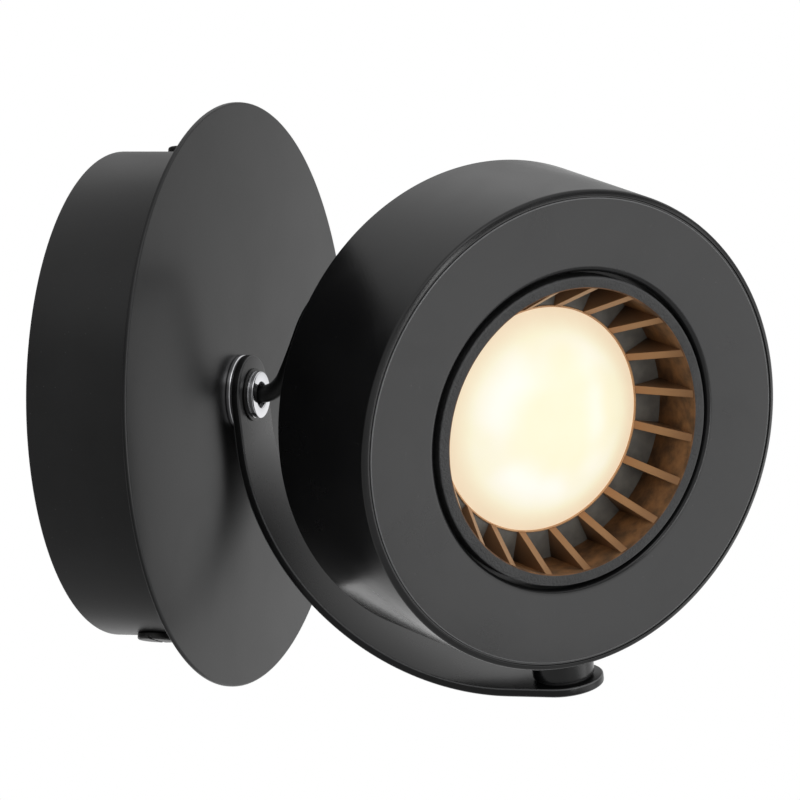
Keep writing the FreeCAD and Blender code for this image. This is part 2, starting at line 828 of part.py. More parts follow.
def pivot_washer():
    """Friction washer between the arm and the head's spacer."""
    hole = "(pivot_screw_radius + running_clearance)"
    turned_piece("pivot_washer", ARM, [
        (hole, "-strip_inside"), ("pivot_washer_radius", "-strip_inside"),
        ("pivot_washer_radius", "-strip_inside + pivot_washer"),
        (hole, "-strip_inside + pivot_washer"),
    ], plane="XY_Plane", at=("0", "0", "pivot_reach"))


# ---------------------------------------------------------------- head pivot


def pivot_spacer():
    """Turned post with its top hollowed to sit on the round housing."""
    body = turned_piece("pivot_spacer", SWING, [
        ("pivot_hole", "-spacer_bottom"), ("spacer_radius", "-spacer_bottom"),
        ("spacer_radius", "saddle_height - head_radius"),
        ("pivot_hole", "saddle_height - head_radius"),
    ], plane="XY_Plane")
    saddle = new_sketch(body, "XY_Plane")
    circle(saddle, "head_radius")
    cut_through(body, saddle)


def pivot_screw():
    """Countersunk screw on which the head turns."""
    body = turned_piece("pivot_screw", SWING, [
        ("0", "-pivot_outside"), ("pivot_screw_head_radius", "-pivot_outside"),
        ("pivot_screw_radius",
         "-pivot_outside + pivot_screw_head_radius - pivot_screw_radius"),
        ("pivot_screw_radius", "-pivot_end"), ("0", "-pivot_end"),
    ], plane="XY_Plane")
    socket = new_sketch(body, "XZ_Plane", ("0", "0", "pivot_outside"))
    hexagon(socket, "pivot_socket_flats")
    cut_depth(body, socket, "pivot_socket_depth")


def pivot_saddle():
    """Curved washer inside the housing, under the pivot nut."""
    body = turned_piece("pivot_saddle", SWING, [
        ("pivot_hole", "-head_radius"), ("saddle_radius", "-head_radius"),
        ("saddle_radius", "-saddle_top"), ("pivot_hole", "-saddle_top"),
    ], plane="XY_Plane")
    outside = new_sketch(body, "XY_Plane")
    circle(outside, "head_inside")
    circle(outside, "head_radius + saddle_radius")
    cut_through(body, outside)


def pivot_nut():
    """Locking nut on the pivot screw."""
    body = new_body("pivot_nut", SWING)
    sketch = new_sketch(body, "XZ_Plane", ("0", "0", "pivot_nut_top"))
    hexagon(sketch, "pivot_nut_flats")
    circle(sketch, "pivot_hole")
    pad(body, sketch, "pivot_nut")


# ---------------------------------------------------------------- head housing


def head_housing():
    """Drawn cup with a wide turned-in hole in its front face, open at the back."""
    body = turned_piece("head_housing", HEAD, [
        ("head_inside", "head_back"), ("head_radius", "head_back"),
        ("head_radius", "face_front"), ("face_hole_radius", "face_front"),
        ("face_hole_radius", "lip_back"), ("lip_outside", "lip_back"),
        ("lip_outside", "face_inside"), ("head_inside", "face_inside"),
    ])
    radius, hole = value("head_radius"), value("face_hole_radius")
    front, back = value("face_front"), value("head_back")
    round_edges(body, "face_rounding", lambda e: is_round(e, radius, front))
    round_edges(body, "lip_rounding", lambda e: is_round(e, hole, front))
    round_edges(body, "rim_rounding", lambda e: is_round(e, radius, back))
    screw = new_sketch(body, "XZ_Plane")
    circle(screw, "pivot_hole", "0", "pivot_forward")
    cut_depth(body, screw, "head_radius + overshoot", reverse=True)
    spigot = new_sketch(body, "XY_Plane", ("0", "0", "face_inside"))
    circle(spigot, "spigot_hole", "0", "pillar_circle")
    blind = cut_depth(body, spigot, "pillar_blind", reverse=True)
    pattern_round(body, [blind], "pillar_count")


def back_cover():
    """Round plate set inside the housing's back rim."""
    body = washer_piece("back_cover", HEAD, "cover_radius", "0", "cover_back", "cover_front")
    bush = new_sketch(body, "XY_Plane")
    circle(bush, "bush_radius + thread_clearance", "0", "bush_offset")
    cut_through(body, bush)
    screw = new_sketch(body, "XY_Plane")
    circle(screw, "cover_hole", "0", "pillar_circle")
    holes = cut_through(body, screw)
    pattern_round(body, [holes], "pillar_count")


def on_pillar(name, corners):
    """A turned piece repeated at each pillar of the housing."""
    body = turned_piece(name, HEAD, corners, at=("0", "0", "-pillar_circle"))
    pattern_round(body, [body.Tip], "pillar_count")


def cover_pillars():
    """Pillars from the front face to the back cover, with a spigot through the carrier."""
    on_pillar("cover_pillars", [
        ("cover_hole", "cover_front"), ("pillar_radius", "cover_front"),
        ("pillar_radius", "carrier_back"), ("pillar_spigot", "carrier_back"),
        ("pillar_spigot", "spigot_end - thread_clearance"),
        ("0", "spigot_end - thread_clearance"),
        ("0", "cover_front + cover_screw_length"),
        ("cover_hole", "cover_front + cover_screw_length"),
    ])


def cover_screws():
    """Pan-head screws through the back cover into the pillars."""
    on_pillar("cover_screws", [
        ("0", "cover_back - cover_screw_head"),
        ("cover_screw_head_radius * head_crown", "cover_back - cover_screw_head"),
        ("cover_screw_head_radius", "cover_back - cover_screw_head * head_side"),
        ("cover_screw_head_radius", "cover_back"), ("cover_screw_radius", "cover_back"),
        ("cover_screw_radius", "cover_back + cover_screw_length"),
        ("0", "cover_back + cover_screw_length"),
    ])


def carrier_spacers():
    """Short tubes on the spigots between the carrier and the front face."""
    on_pillar("carrier_spacers", [
        ("spigot_hole", "carrier_front"), ("pillar_radius", "carrier_front"),
        ("pillar_radius", "face_inside"), ("spigot_hole", "face_inside"),
    ])


def lamp_carrier():
    """Steel ring that the lamp's rim rests on."""
    body = washer_piece("lamp_carrier", HEAD, "carrier_radius", "carrier_hole",
                        "carrier_back", "carrier_front")
    hole = new_sketch(body, "XY_Plane")
    circle(hole, "spigot_hole", "0", "pillar_circle")
    holes = cut_through(body, hole)
    pattern_round(body, [holes], "pillar_count")


def lamp_clips():
    """Spring leaves on the carrier that grip the lamp's body."""
    body = new_body("lamp_clips", HEAD)
    leaf = "(sink_radius + clip_clearance)"
    bent = "(carrier_back - clip_thickness)"
    sketch = new_sketch(body, "XZ_Plane")
    outline(sketch, [
        (leaf, "carrier_back - clip_leg"),
        (f"{leaf} + clip_thickness", "carrier_back - clip_leg"),
        (f"{leaf} + clip_thickness", bent), (f"{leaf} + clip_foot", bent),
        (f"{leaf} + clip_foot", "carrier_back"), (leaf, "carrier_back"),
    ])
    leaf_pad = pad(body, sketch, "clip_width", midplane=True)
    pattern_round(body, [leaf_pad], "pillar_count")


# ---------------------------------------------------------------- lamp


def heat_sink():
    """Die-cast lamp body: front ring, deep round recess and a fan of gusset fins."""
    seat = "(lens_radius + lens_clearance)"
    ledge = "(board_radius + lens_clearance)"
    body = turned_piece("heat_sink", HEAD, [
        ("0", "sink_back_z"), ("sink_back_radius", "sink_back_z"),
        ("sink_radius", "sink_shoulder_z"), ("sink_radius", "carrier_front"),
        ("ring_radius", "carrier_front"), ("ring_radius", "ring_front_z"),
        ("ring_inner_radius", "ring_front_z"), ("ring_inner_radius", "floor_z"),
        (seat, "floor_z"), (seat, "lens_seat_z"), (ledge, "lens_seat_z"),
        (ledge, "board_back"), ("0", "board_back"),
    ])
    front = value("ring_front_z")
    radii = (value("ring_radius"), value("ring_inner_radius"))
    round_edges(body, "ring_rounding",
                lambda e: is_round(e, radii[0], front) or is_round(e, radii[1], front))
    gusset = new_sketch(body, "XZ_Plane")
    outline(gusset, [
        (seat, "floor_z"), (seat, "floor_z - fin_root"),
        ("ring_inner_radius + fin_root", "floor_z - fin_root"),
        ("ring_inner_radius + fin_root", "ring_front_z - fin_front_step"),
        ("ring_inner_radius", "ring_front_z - fin_front_step"),
    ])
    fin = pad(body, gusset, "fin_thickness", midplane=True)
    pattern_round(body, [fin], "fin_count")


def led_board():
    """Round aluminium circuit board in the heat sink."""
    washer_piece("led_board", HEAD, "board_radius", "0", "board_back", "board_front")


def led_chips():
    """Square light-emitting packages in a ring on the board."""
    body = new_body("led_chips", HEAD)
    sketch = new_sketch(body, "XY_Plane", ("0", "0", "board_front"))
    rectangle(sketch, "chip_circle - chip_size / 2", "chip_circle + chip_size / 2",
              "-chip_size / 2", "chip_size / 2")
    chip = pad(body, sketch, "chip_height")
    pattern_round(body, [chip], "chip_count")


def lens_dome():
    """Frosted shell lens: a shallow dome on a short skirt."""
    reach, rise = value("lens_radius"), value("lens_rise")
    wall, skirt = value("lens_wall"), value("lens_skirt")
    floor = value("floor_z")
    outer = (reach ** 2 + rise ** 2) / (2 * rise)
    top = floor + rise
    inner_reach = reach - wall
    inner_side = top - outer + math.sqrt((outer - wall) ** 2 - inner_reach ** 2)

    def on_arc(radius, x):
        return Vector(x, 0, top - outer + math.sqrt(radius ** 2 - x ** 2))

    profile = [
        Part.Arc(Vector(0, 0, top), on_arc(outer, reach / 2), Vector(reach, 0, floor)),
        Part.LineSegment(Vector(reach, 0, floor), Vector(reach, 0, floor - skirt)),
        Part.LineSegment(Vector(reach, 0, floor - skirt), Vector(inner_reach, 0, floor - skirt)),
        Part.LineSegment(Vector(inner_reach, 0, floor - skirt), Vector(inner_reach, 0, inner_side)),
        Part.Arc(Vector(inner_reach, 0, inner_side), on_arc(outer - wall, inner_reach / 2),
                 Vector(0, 0, top - wall)),
        Part.LineSegment(Vector(0, 0, top - wall), Vector(0, 0, top)),
    ]
    face = Part.Face(Part.Wire([edge.toShape() for edge in profile]))
    solid_piece("lens_dome", face.revolve(Vector(), Vector(0, 0, 1), 360), HEAD)


def rear_cap():
    """Insulating cap on the back of the heat sink."""
    edge = "(cap_radius - cap_chamfer)"
    turned_piece("rear_cap", HEAD, [
        ("0", "cap_back"), (edge, "cap_back"), ("cap_radius", "cap_back + cap_chamfer"),
        ("cap_radius", "sink_back_z"), ("0", "sink_back_z"),
    ])


def lamp_pins():
    """Two flat contact blades on the rear cap."""
    body = new_body("lamp_pins", HEAD)
    sketch = new_sketch(body, "XY_Plane", ("0", "0", "cap_back - pin_length"))
    for side in (-1, 1):
        middle = f"{side} * pin_spread"
        rectangle(sketch, f"{middle} - pin_width / 2", f"{middle} + pin_width / 2",
                  "-pin_thickness / 2", "pin_thickness / 2")
    pad(body, sketch, "pin_length")


def lamp_plugs():
    """Insulated push-on sleeves on the two blades."""
    body = new_body("lamp_plugs", HEAD)
    sketch = new_sketch(body, "XY_Plane", ("0", "0", "plug_front - plug_height"))
    for side in (-1, 1):
        middle = f"{side} * pin_spread"
        rectangle(sketch, f"{middle} - plug_width / 2", f"{middle} + plug_width / 2",
                  "-plug_thickness / 2", "plug_thickness / 2")
    pad(body, sketch, "plug_height")
    slots = new_sketch(body, "XY_Plane", ("0", "0", "plug_front"))
    wide = "(pin_width / 2 + plug_slot_clearance)"
    thick = "(pin_thickness / 2 + plug_slot_clearance)"
    for side in (-1, 1):
        middle = f"{side} * pin_spread"
        rectangle(slots, f"{middle} - {wide}", f"{middle} + {wide}", "-" + thick, thick)
    cut_depth(body, slots, "pin_length - plug_gap + plug_slot_clearance")


# ---------------------------------------------------------------- cord, leads and wires


def solid_piece(name, shape, placement):
    """A sub-part whose shape is made directly."""
    made = document.addObject("Part::Feature", name)
    made.Label = name
    made.Shape = shape
    made.Placement = placement
    return made


def rounded_path(points):
    """Straight runs joined by tangent arcs, as large as the runs allow, and the arcs' radii."""
    edges = []
    radii = []
    start = points[0]
    for before, corner, after in zip(points, points[1:], points[2:]):
        back, ahead = before - corner, after - corner
        shorter = min(back.Length, ahead.Length)
        half_turn = (math.pi - back.getAngle(ahead)) / 2
        reach = 0.45 * shorter
        radius = reach / math.tan(half_turn)
        entry = corner + Vector(back).normalize() * reach
        leave = corner + Vector(ahead).normalize() * reach
        inward = (Vector(back).normalize() + Vector(ahead).normalize()).normalize()
        middle = corner + inward * (radius / math.cos(half_turn) - radius)
        edges.append(Part.LineSegment(start, entry).toShape())
        edges.append(Part.Arc(entry, middle, leave).toShape())
        radii.append(radius)
        start = leave
    edges.append(Part.LineSegment(start, points[-1]).toShape())
    return Part.Wire(edges), radii


def tube(name, points, radius):
    """A round solid along the rounded path, with its length and arcs printed."""
    path, radii = rounded_path(points)
    ring = Part.Circle(points[0], points[1] - points[0], radius).toShape()
    solid = path.makePipeShell([Part.Wire([ring])], True, False)
    ratio = solid.Volume / (math.pi * radius ** 2 * path.Length)
    arcs = ", ".join(f"{arc:.1f}" for arc in radii)
    print(f"{name}: length {path.Length:.1f}, volume ratio {ratio:.4f}, radii {arcs}")
    if abs(ratio - 1) > 0.01:
        raise RuntimeError(f"{name}: the tube's volume is wrong")
    return solid


def canopy_lead():
    """Lead from the nipple's front end through the cord grip to the driver."""
    drop, exit_z = value("grip_hole_z"), value("lead_exit_z")
    side, loop = value("driver_offset"), value("lead_loop")
    points = [
        Vector(0, 0, value("nipple_front")),
        Vector(0, 0, drop),
        Vector(0, value("lead_turn") - loop, drop),
        Vector(side / 2, -loop, (drop + exit_z) / 2),
        Vector(side, -loop, exit_z),
        Vector(side, -value("driver_end"), exit_z),
    ]
    solid_piece("canopy_lead", tube("canopy_lead", points, value("cord_radius")), CANOPY)


def cord_bush():
    """Snap-in bush with a tapered nose that holds the cord in the back cover."""
    inner = "(cord_radius + thread_clearance)"
    turned_piece("cord_bush", HEAD, [
        (inner, "bush_tip"), ("bush_nose_radius", "bush_tip"),
        ("bush_radius", "bush_outside"), ("bush_flange_radius", "bush_outside + bush_crown"),
        ("bush_flange_radius", "cover_back"), ("bush_radius", "cover_back"),
        ("bush_radius", "cover_front"), ("bush_snap_radius", "cover_front"),
        ("bush_radius", "bush_inside"), (inner, "bush_inside"),
    ], at=("0", "0", "-bush_offset"))


def head_lead():
    """Sheathed end of the cord inside the bush."""
    turned_piece("head_lead", HEAD, [
        ("0", "bush_tip"), ("cord_radius", "bush_tip"), ("cord_radius", "bush_inside"),
        ("0", "bush_inside"),
    ], at=("0", "0", "-bush_offset"))


def lamp_wires():
    """Two single wires from the cord's end to the push-on sleeves."""
    spread, height = value("wire_spread"), value("bush_offset")
    start = value("bush_inside")
    middle = (start + value("cap_back")) / 2
    wires = []
    for side in (-1, 1):
        end = side * value("pin_spread")
        points = [
            Vector(side * spread, height, start),
            Vector(side * spread, height, middle),
            Vector(end, height / 2, middle),
            Vector(end, value("plug_thickness") / 2, value("plug_front") - value("wire_depth")),
        ]
        wires.append(tube("lamp_wires", points, value("wire_radius")))
    solid_piece("lamp_wires", Part.Compound(wires), HEAD)


def lamp_cord():
    """Free cord from the nipple's mouth to the bush on the head."""
    end = HEAD.multVec(Vector(0, value("bush_offset"), value("bush_tip")))
    beam = HEAD.Rotation.multVec(Vector(0, 0, 1))
    start = Vector(0, -value("nipple_front"), 0)
    points = [start] + [Vector(*point) for point in CORD_ROUTE]
    points += [end - beam * CORD_LAST_RUN, end]
    for point in points:
        print("cord point", tuple(round(c, 2) for c in point))
    solid_piece("lamp_cord", tube("lamp_cord", points, value("cord_radius")),
                FreeCAD.Placement())


# ---------------------------------------------------------------- build and write

PIECES = [
    wall_bracket, earth_screw, canopy_drum, front_disc, side_thumbscrews, terminal_block,
    terminal_screws, driver_case, driver_screws, cord_grip, grip_screws, threaded_nipple,
    nipple_washer, nipple_nut, swivel_collar, front_washer, ring_nut, arm_strip, pivot_washer,
    pivot_spacer, pivot_screw, pivot_saddle, pivot_nut, head_housing, back_cover, cover_pillars,
    cover_screws, carrier_spacers, lamp_carrier, lamp_clips, heat_sink, led_board, led_chips,
    lens_dome, rear_cap, lamp_pins, lamp_plugs, canopy_lead, cord_bush, head_lead, lamp_wires,
    lamp_cord,
]
for make_piece in PIECES:
    make_piece()
document.recompute()

faults = [o.Name for o in document.Objects if "Invalid" in o.State or "Error" in o.State]
if faults:
    raise RuntimeError(f"failed objects: {faults}")
sub_parts = [
    o for o in document.Objects
    if o.TypeId == "PartDesign::Body" or (o.TypeId == "Part::Feature" and not o.InList)
]
os.makedirs("parts", exist_ok=True)
for sub_part in sub_parts:
    if sub_part.Shape.isNull() or not sub_part.Shape.isValid():
        raise RuntimeError(f"{sub_part.Label}: the shape is not valid")
for sub_part in sub_parts:
    sub_part.Shape.exportStep(f"parts/{sub_part.Label}.step")
print(f"{len(sub_parts)} sub-parts written")
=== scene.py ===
"""Looks of a pivoting spotlight wall light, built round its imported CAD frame.

A black lacquered canopy carries a flat-bar arm on a bright swivel, and the arm carries a deep round
lamp head. Sizes are in millimetres in each sub-assembly's own axes; finished meshes are in metres in
the row frame, with their objects at the origin.
"""

import logging
import math
from collections.abc import Sequence
from dataclasses import dataclass
from enum import Enum

import bmesh
import bpy
from mathutils import Matrix, Vector


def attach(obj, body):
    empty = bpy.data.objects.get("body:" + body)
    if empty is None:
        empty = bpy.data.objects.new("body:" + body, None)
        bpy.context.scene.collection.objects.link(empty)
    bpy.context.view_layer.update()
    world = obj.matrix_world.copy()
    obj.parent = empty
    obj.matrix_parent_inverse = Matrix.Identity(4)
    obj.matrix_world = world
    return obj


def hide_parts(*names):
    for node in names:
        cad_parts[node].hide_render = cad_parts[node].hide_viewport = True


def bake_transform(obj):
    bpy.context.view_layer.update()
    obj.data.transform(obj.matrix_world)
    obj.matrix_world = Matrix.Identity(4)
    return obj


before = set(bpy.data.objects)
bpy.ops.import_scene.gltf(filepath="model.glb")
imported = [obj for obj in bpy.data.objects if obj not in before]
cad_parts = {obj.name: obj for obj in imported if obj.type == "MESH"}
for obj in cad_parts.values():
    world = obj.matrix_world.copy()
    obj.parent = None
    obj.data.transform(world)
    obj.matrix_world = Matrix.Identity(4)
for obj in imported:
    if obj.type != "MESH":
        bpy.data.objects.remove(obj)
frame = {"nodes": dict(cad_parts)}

LOG = logging.getLogger("spotlight")
MM = 0.001

Point2 = tuple[float, float]
Point3 = tuple[float, float, float]
Colour = tuple[float, float, float]
Socket = bpy.types.NodeSocket
Inputs = dict[str | int, object]
Groups = dict[str, bpy.types.NodeTree]


class Body(Enum):
    """The CAD bodies that pieces ride on."""

    BASE = "base"
    ARM = "arm"
    HEAD = "head"


# ---------------------------------------- local axes


@dataclass(frozen=True)
class Axes:
    """A sub-assembly's own axes, in millimetres, set in the row frame."""

    matrix: Matrix

    def point(self, x: float, y: float, z: float) -> Vector:
        """A local point in row-frame metres."""
        return self.matrix @ Vector((x, y, z))

    def tipped(self, angle: float) -> "Axes":
        """The same axes turned about their own x, in degrees."""
        return Axes(self.matrix @ Matrix.Rotation(math.radians(angle), 4, "X"))


def wall_axes(angle: float, at: Vector | None = None, swing: float = 0.0) -> Axes:
    """Axes whose z leaves the wall.

    Args:
        angle: turn about the way out of the wall, in degrees.
        at: where the axes start, in row-frame metres.
        swing: turn about their own y afterwards, in degrees.

    Returns:
        The axes, scaled from millimetres to metres.
    """
    turn = (
        Matrix.Rotation(math.radians(90), 4, "X")
        @ Matrix.Rotation(math.radians(angle), 4, "Z")
        @ Matrix.Rotation(math.radians(swing), 4, "Y")
    )
    return Axes(Matrix.Translation(at or Vector()) @ turn @ Matrix.Scale(MM, 4))


CANOPY_ANGLE = -9.3
ARM_ANGLE = 17.7
HEAD_SWING = -37.0
HEAD_DROP = 7.0
PIVOT_REACH = 150.5
PIVOT_FORWARD = 4.0

CANOPY = wall_axes(CANOPY_ANGLE)
ARM = wall_axes(ARM_ANGLE)
SWING = wall_axes(ARM_ANGLE, ARM.point(0.0, -HEAD_DROP, PIVOT_REACH), HEAD_SWING)
HEAD = wall_axes(ARM_ANGLE, SWING.point(0.0, 0.0, -PIVOT_FORWARD), HEAD_SWING)


# ---------------------------------------- node trees


class TreeWriter:
    """Adds nodes to a node tree and links their sockets."""

    def __init__(self, tree: bpy.types.NodeTree) -> None:
        """Starts writing in a tree."""
        self.tree = tree

    def node(self, kind: str, inputs: Inputs | None = None, **settings: object) -> bpy.types.Node:
        """Adds a node.

        Args:
            kind: the node's type name.
            inputs: a value or a source socket for each input, by name or place.
            settings: the node's own properties.

        Returns:
            The new node.
        """
        made = self.tree.nodes.new(kind)
        for name, value in settings.items():
            setattr(made, name, value)
        return self.feed(made, inputs or {})

    def feed(self, made: bpy.types.Node, inputs: Inputs) -> bpy.types.Node:
        """Gives a node's inputs their values or source sockets.

        Args:
            made: the node.
            inputs: a value or a source socket for each input, by name or place.

        Returns:
            The same node.
        """
        for key, value in inputs.items():
            if isinstance(value, Socket):
                self.tree.links.new(value, made.inputs[key])
            else:
                made.inputs[key].default_value = value
        return made

    def group(self, tree: bpy.types.NodeTree, inputs: Inputs) -> bpy.types.NodeOutputs:
        """The outputs of a shared node group with its inputs fed."""
        return self.feed(self.node("ShaderNodeGroup", node_tree=tree), inputs).outputs

    def math(self, operation: str, *values: object) -> Socket:
        """The result of a Math node on values or sockets."""
        return self.node("ShaderNodeMath", dict(enumerate(values)), operation=operation).outputs[0]

    def noise(self, place: Socket, scale: object, detail: float, **more: float) -> Socket:
        """The value of a noise texture at a place."""
        inputs = {"Vector": place, "Scale": scale, "Detail": detail, **more}
        return self.node("ShaderNodeTexNoise", inputs).outputs["Fac"]

    def ramp(self, source: Socket, low: float, high: float,
             to_low: float = 0.0, to_high: float = 1.0) -> Socket:
        """A socket's value carried from one range to another, smoothly and clamped."""
        inputs = {"Value": source, "From Min": low, "From Max": high, "To Min": to_low, "To Max": to_high}
        return self.node("ShaderNodeMapRange", inputs, interpolation_type="SMOOTHSTEP").outputs["Result"]

    def mix(self, share: Socket, first: Socket | Colour, second: Socket | Colour) -> Socket:
        """A colour between two colours.

        Args:
            share: how much of the second colour shows, from 0 to 1.
            first: a colour, or a socket that gives one.
            second: the same.

        Returns:
            The mixed colour.
        """
        ends = [value if isinstance(value, Socket) else (*value, 1.0) for value in (first, second)]
        inputs = {"Factor": share, 6: ends[0], 7: ends[1]}
        return self.node("ShaderNodeMix", inputs, data_type="RGBA").outputs[2]

    def bump(self, height: Socket, relief: float, under: Socket | None = None) -> Socket:
        """The normal that a relief in millimetres gives, laid over another normal if there is one."""
        inputs = {"Height": height, "Distance": relief * MM, **({"Normal": under} if under else {})}
        return self.node("ShaderNodeBump", {"Strength": 1.0, **inputs}).outputs[0]


class GroupWriter(TreeWriter):
    """Writes a shader node group with named inputs and outputs."""

    def __init__(self, name: str, inputs: dict[str, float], outputs: Sequence[str]) -> None:
        """Starts a group, which takes a place and some values and gives values.

        Args:
            name: the group's name.
            inputs: the first value of each input besides "Vector".
            outputs: the names of the outputs.
        """
        super().__init__(bpy.data.node_groups.new(name, "ShaderNodeTree"))
        face = self.tree.interface
        face.new_socket("Vector", in_out="INPUT", socket_type="NodeSocketVector")
        for label, first in inputs.items():
            face.new_socket(label, in_out="INPUT", socket_type="NodeSocketFloat").default_value = first
        for label in outputs:
            face.new_socket(label, in_out="OUTPUT", socket_type="NodeSocketFloat")
        self.given = self.node("NodeGroupInput").outputs
        self.results = self.node("NodeGroupOutput")


def blank_tree(owner: bpy.types.Material | bpy.types.World) -> TreeWriter:
    """Empties the node tree of a material or a world.

    Args:
        owner: the material or the world.

    Returns:
        A writer in its tree.
    """
    owner.use_nodes = True
    owner.node_tree.nodes.clear()
    return TreeWriter(owner.node_tree)


def grain_group() -> bpy.types.NodeTree:
    """Fine grain on top of a slow swell, for lacquer, castings and moulded parts.

    Returns:
        The group, which gives a height and a mottle.
    """
    sizes = {"Grain per metre": 1500.0, "Swell per metre": 60.0, "Swell share": 0.3}
    write = GroupWriter("surface grain", sizes, ("Height", "Mottle"))
    given = write.given
    fine = write.noise(given["Vector"], given["Grain per metre"], 3.0, Roughness=0.6)
    slow = write.noise(given["Vector"], given["Swell per metre"], 4.0, Roughness=0.55)
    both = {"Factor": given["Swell share"], 2: fine, 3: slow}
    height = write.node("ShaderNodeMix", both, data_type="FLOAT")
    write.feed(write.results, {"Height": height.outputs[0], "Mottle": write.ramp(slow, 0.3, 0.7)})
    return write.tree


def handling_group() -> bpy.types.NodeTree:
    """Marks of handling: broad smudges that change the gloss, and sparse specks of dust.

    Returns:
        The group, which gives a smudge and specks.
    """
    write = GroupWriter("handling marks", {"Smudges per metre": 22.0, "Specks per metre": 700.0},
                        ("Smudge", "Specks"))
    given = write.given
    smear = write.noise(given["Vector"], given["Smudges per metre"], 5.0, Roughness=0.65, Distortion=1.2)
    specks = write.node("ShaderNodeTexVoronoi", {
        "Vector": given["Vector"], "Scale": given["Specks per metre"],
    }).outputs
    near = write.ramp(specks["Distance"], 0.05, 0.16, 1.0, 0.0)
    chosen = write.ramp(write.node("ShaderNodeSeparateColor", {0: specks["Color"]}).outputs[0], 0.9, 0.93)
    speck = write.math("MULTIPLY", near, chosen)
    write.feed(write.results, {"Smudge": write.ramp(smear, 0.42, 0.72), "Specks": speck})
    return write.tree


def lines_group() -> bpy.types.NodeTree:
    """Fine turned or drawn lines along one direction of bare metal.

    Returns:
        The group, which gives a height.
    """
    write = GroupWriter("drawn lines", {"Lines per metre": 4000.0, "Stretch": 0.03}, ("Height",))
    given = write.given
    squeeze = write.node("ShaderNodeCombineXYZ", {0: given["Stretch"], 1: 1.0, 2: 1.0}).outputs[0]
    squeezed = {0: given["Vector"], 1: squeeze}
    lines = write.node("ShaderNodeVectorMath", squeezed, operation="MULTIPLY").outputs[0]
    write.feed(write.results, {"Height": write.noise(lines, given["Lines per metre"], 2.0)})
    return write.tree


# ---------------------------------------- finishes

LINT: Colour = (0.32, 0.31, 0.3)


@dataclass(frozen=True)
class Coat:
    """A material while it is made: its tree, its shader, the place of its patterns and the shared groups."""

    write: TreeWriter
    shader: bpy.types.Node
    place: Socket
    groups: Groups

    def link(self, **sources: Socket) -> None:
        """Links sockets to the shader's inputs, whose names have spaces where the keys have underscores."""
        self.write.feed(self.shader, {name.replace("_", " "): source for name, source in sources.items()})


@dataclass(frozen=True)
class Finish:
    """What every finish shares: its colour, gloss and grain."""

    label: str
    colour: Colour
    mottled: Colour
    roughness: float = 0.5
    roughness_spread: float = 0.05
    metallic: float = 0.0
    specular: float = 0.5
    grain: float = 1500.0
    swell: float = 60.0
    swell_share: float = 0.3
    relief: float = 0.01
    smudge: float = 0.06
    dust: float = 0.15

    def material(self, groups: Groups) -> bpy.types.Material:
        """Builds the material.

        Args:
            groups: the shader node groups that finishes share.

        Returns:
            A material whose colour, gloss and relief all change over the surface.
        """
        made = bpy.data.materials.new(self.label)
        write = blank_tree(made)
        shader = write.node("ShaderNodeBsdfPrincipled", {
            "Metallic": self.metallic, "Specular IOR Level": self.specular,
        })
        self.dress(Coat(write, shader, write.node("ShaderNodeTexCoord").outputs["Object"], groups))
        write.node("ShaderNodeOutputMaterial", {"Surface": shader.outputs[0]})
        return made

    def dress(self, coat: Coat) -> None:
        """Links the colour, gloss and relief to the shader.

        Args:
            coat: the material while it is made.
        """
        write = coat.write
        grain = write.group(coat.groups["grain"], {
            "Vector": coat.place, "Grain per metre": self.grain, "Swell per metre": self.swell,
            "Swell share": self.swell_share,
        })
        marks = write.group(coat.groups["handling"], {"Vector": coat.place})
        colour = write.mix(grain["Mottle"], self.colour, self.mottled)
        colour = write.mix(write.math("MULTIPLY", marks["Specks"], self.dust), colour, LINT)
        gloss = write.math("MULTIPLY_ADD", grain["Mottle"], self.roughness_spread, self.roughness)
        gloss = write.math("MULTIPLY_ADD", marks["Smudge"], self.smudge, gloss)
        coat.link(Base_Color=colour, Roughness=gloss, Normal=self.relieved(coat, grain["Height"]))

    def relieved(self, coat: Coat, height: Socket) -> Socket:
        """The normal that the grain gives."""
        return coat.write.bump(height, self.relief)


@dataclass(frozen=True)
class EdgeHighlightLacquer(Finish):
    """Lacquer with a painted highlight: a paler colour laid along its rounded edges."""

    roughness_spread: float = 0.02
    smudge: float = 0.02
    relief: float = 0.03
    # painted highlight: the paler colour laid along rounded edges, and how strongly it shows
    highlight_colour: Colour = (0.09, 0.09, 0.09)
    highlight_strength: float = 0.35

    def dress(self, coat: Coat) -> None:
        """Links the finish, with the painted edge highlight laid over the colour.

        Args:
            coat: the material while it is made.
        """
        super().dress(coat)
        under = coat.shader.inputs["Base Color"].links[0].from_socket
        # the "edge" attribute says how strongly the painted edge highlight shows at each point
        edge = coat.write.node("ShaderNodeAttribute", attribute_name="edge").outputs["Fac"]
        share = coat.write.math("MULTIPLY", edge, self.highlight_strength)
        coat.link(Base_Color=coat.write.mix(share, under, self.highlight_colour))


@dataclass(frozen=True)
class DrawnMetal(Finish):
    """Bare or plated metal with fine lines in it."""

    lines: float = 4000.0
    stretch: float = 0.03
    line_relief: float = 0.002

    def relieved(self, coat: Coat, height: Socket) -> Socket:
        """The normal that the lines and the grain give.

        Args:
            coat: the material while it is made.
            height: the grain's height.

        Returns:
            The normal.
        """
        lines = coat.write.group(coat.groups["lines"], {
            "Vector": coat.place, "Lines per metre": self.lines, "Stretch": self.stretch,
        })
        return coat.write.bump(height, self.relief, coat.write.bump(lines["Height"], self.line_relief))


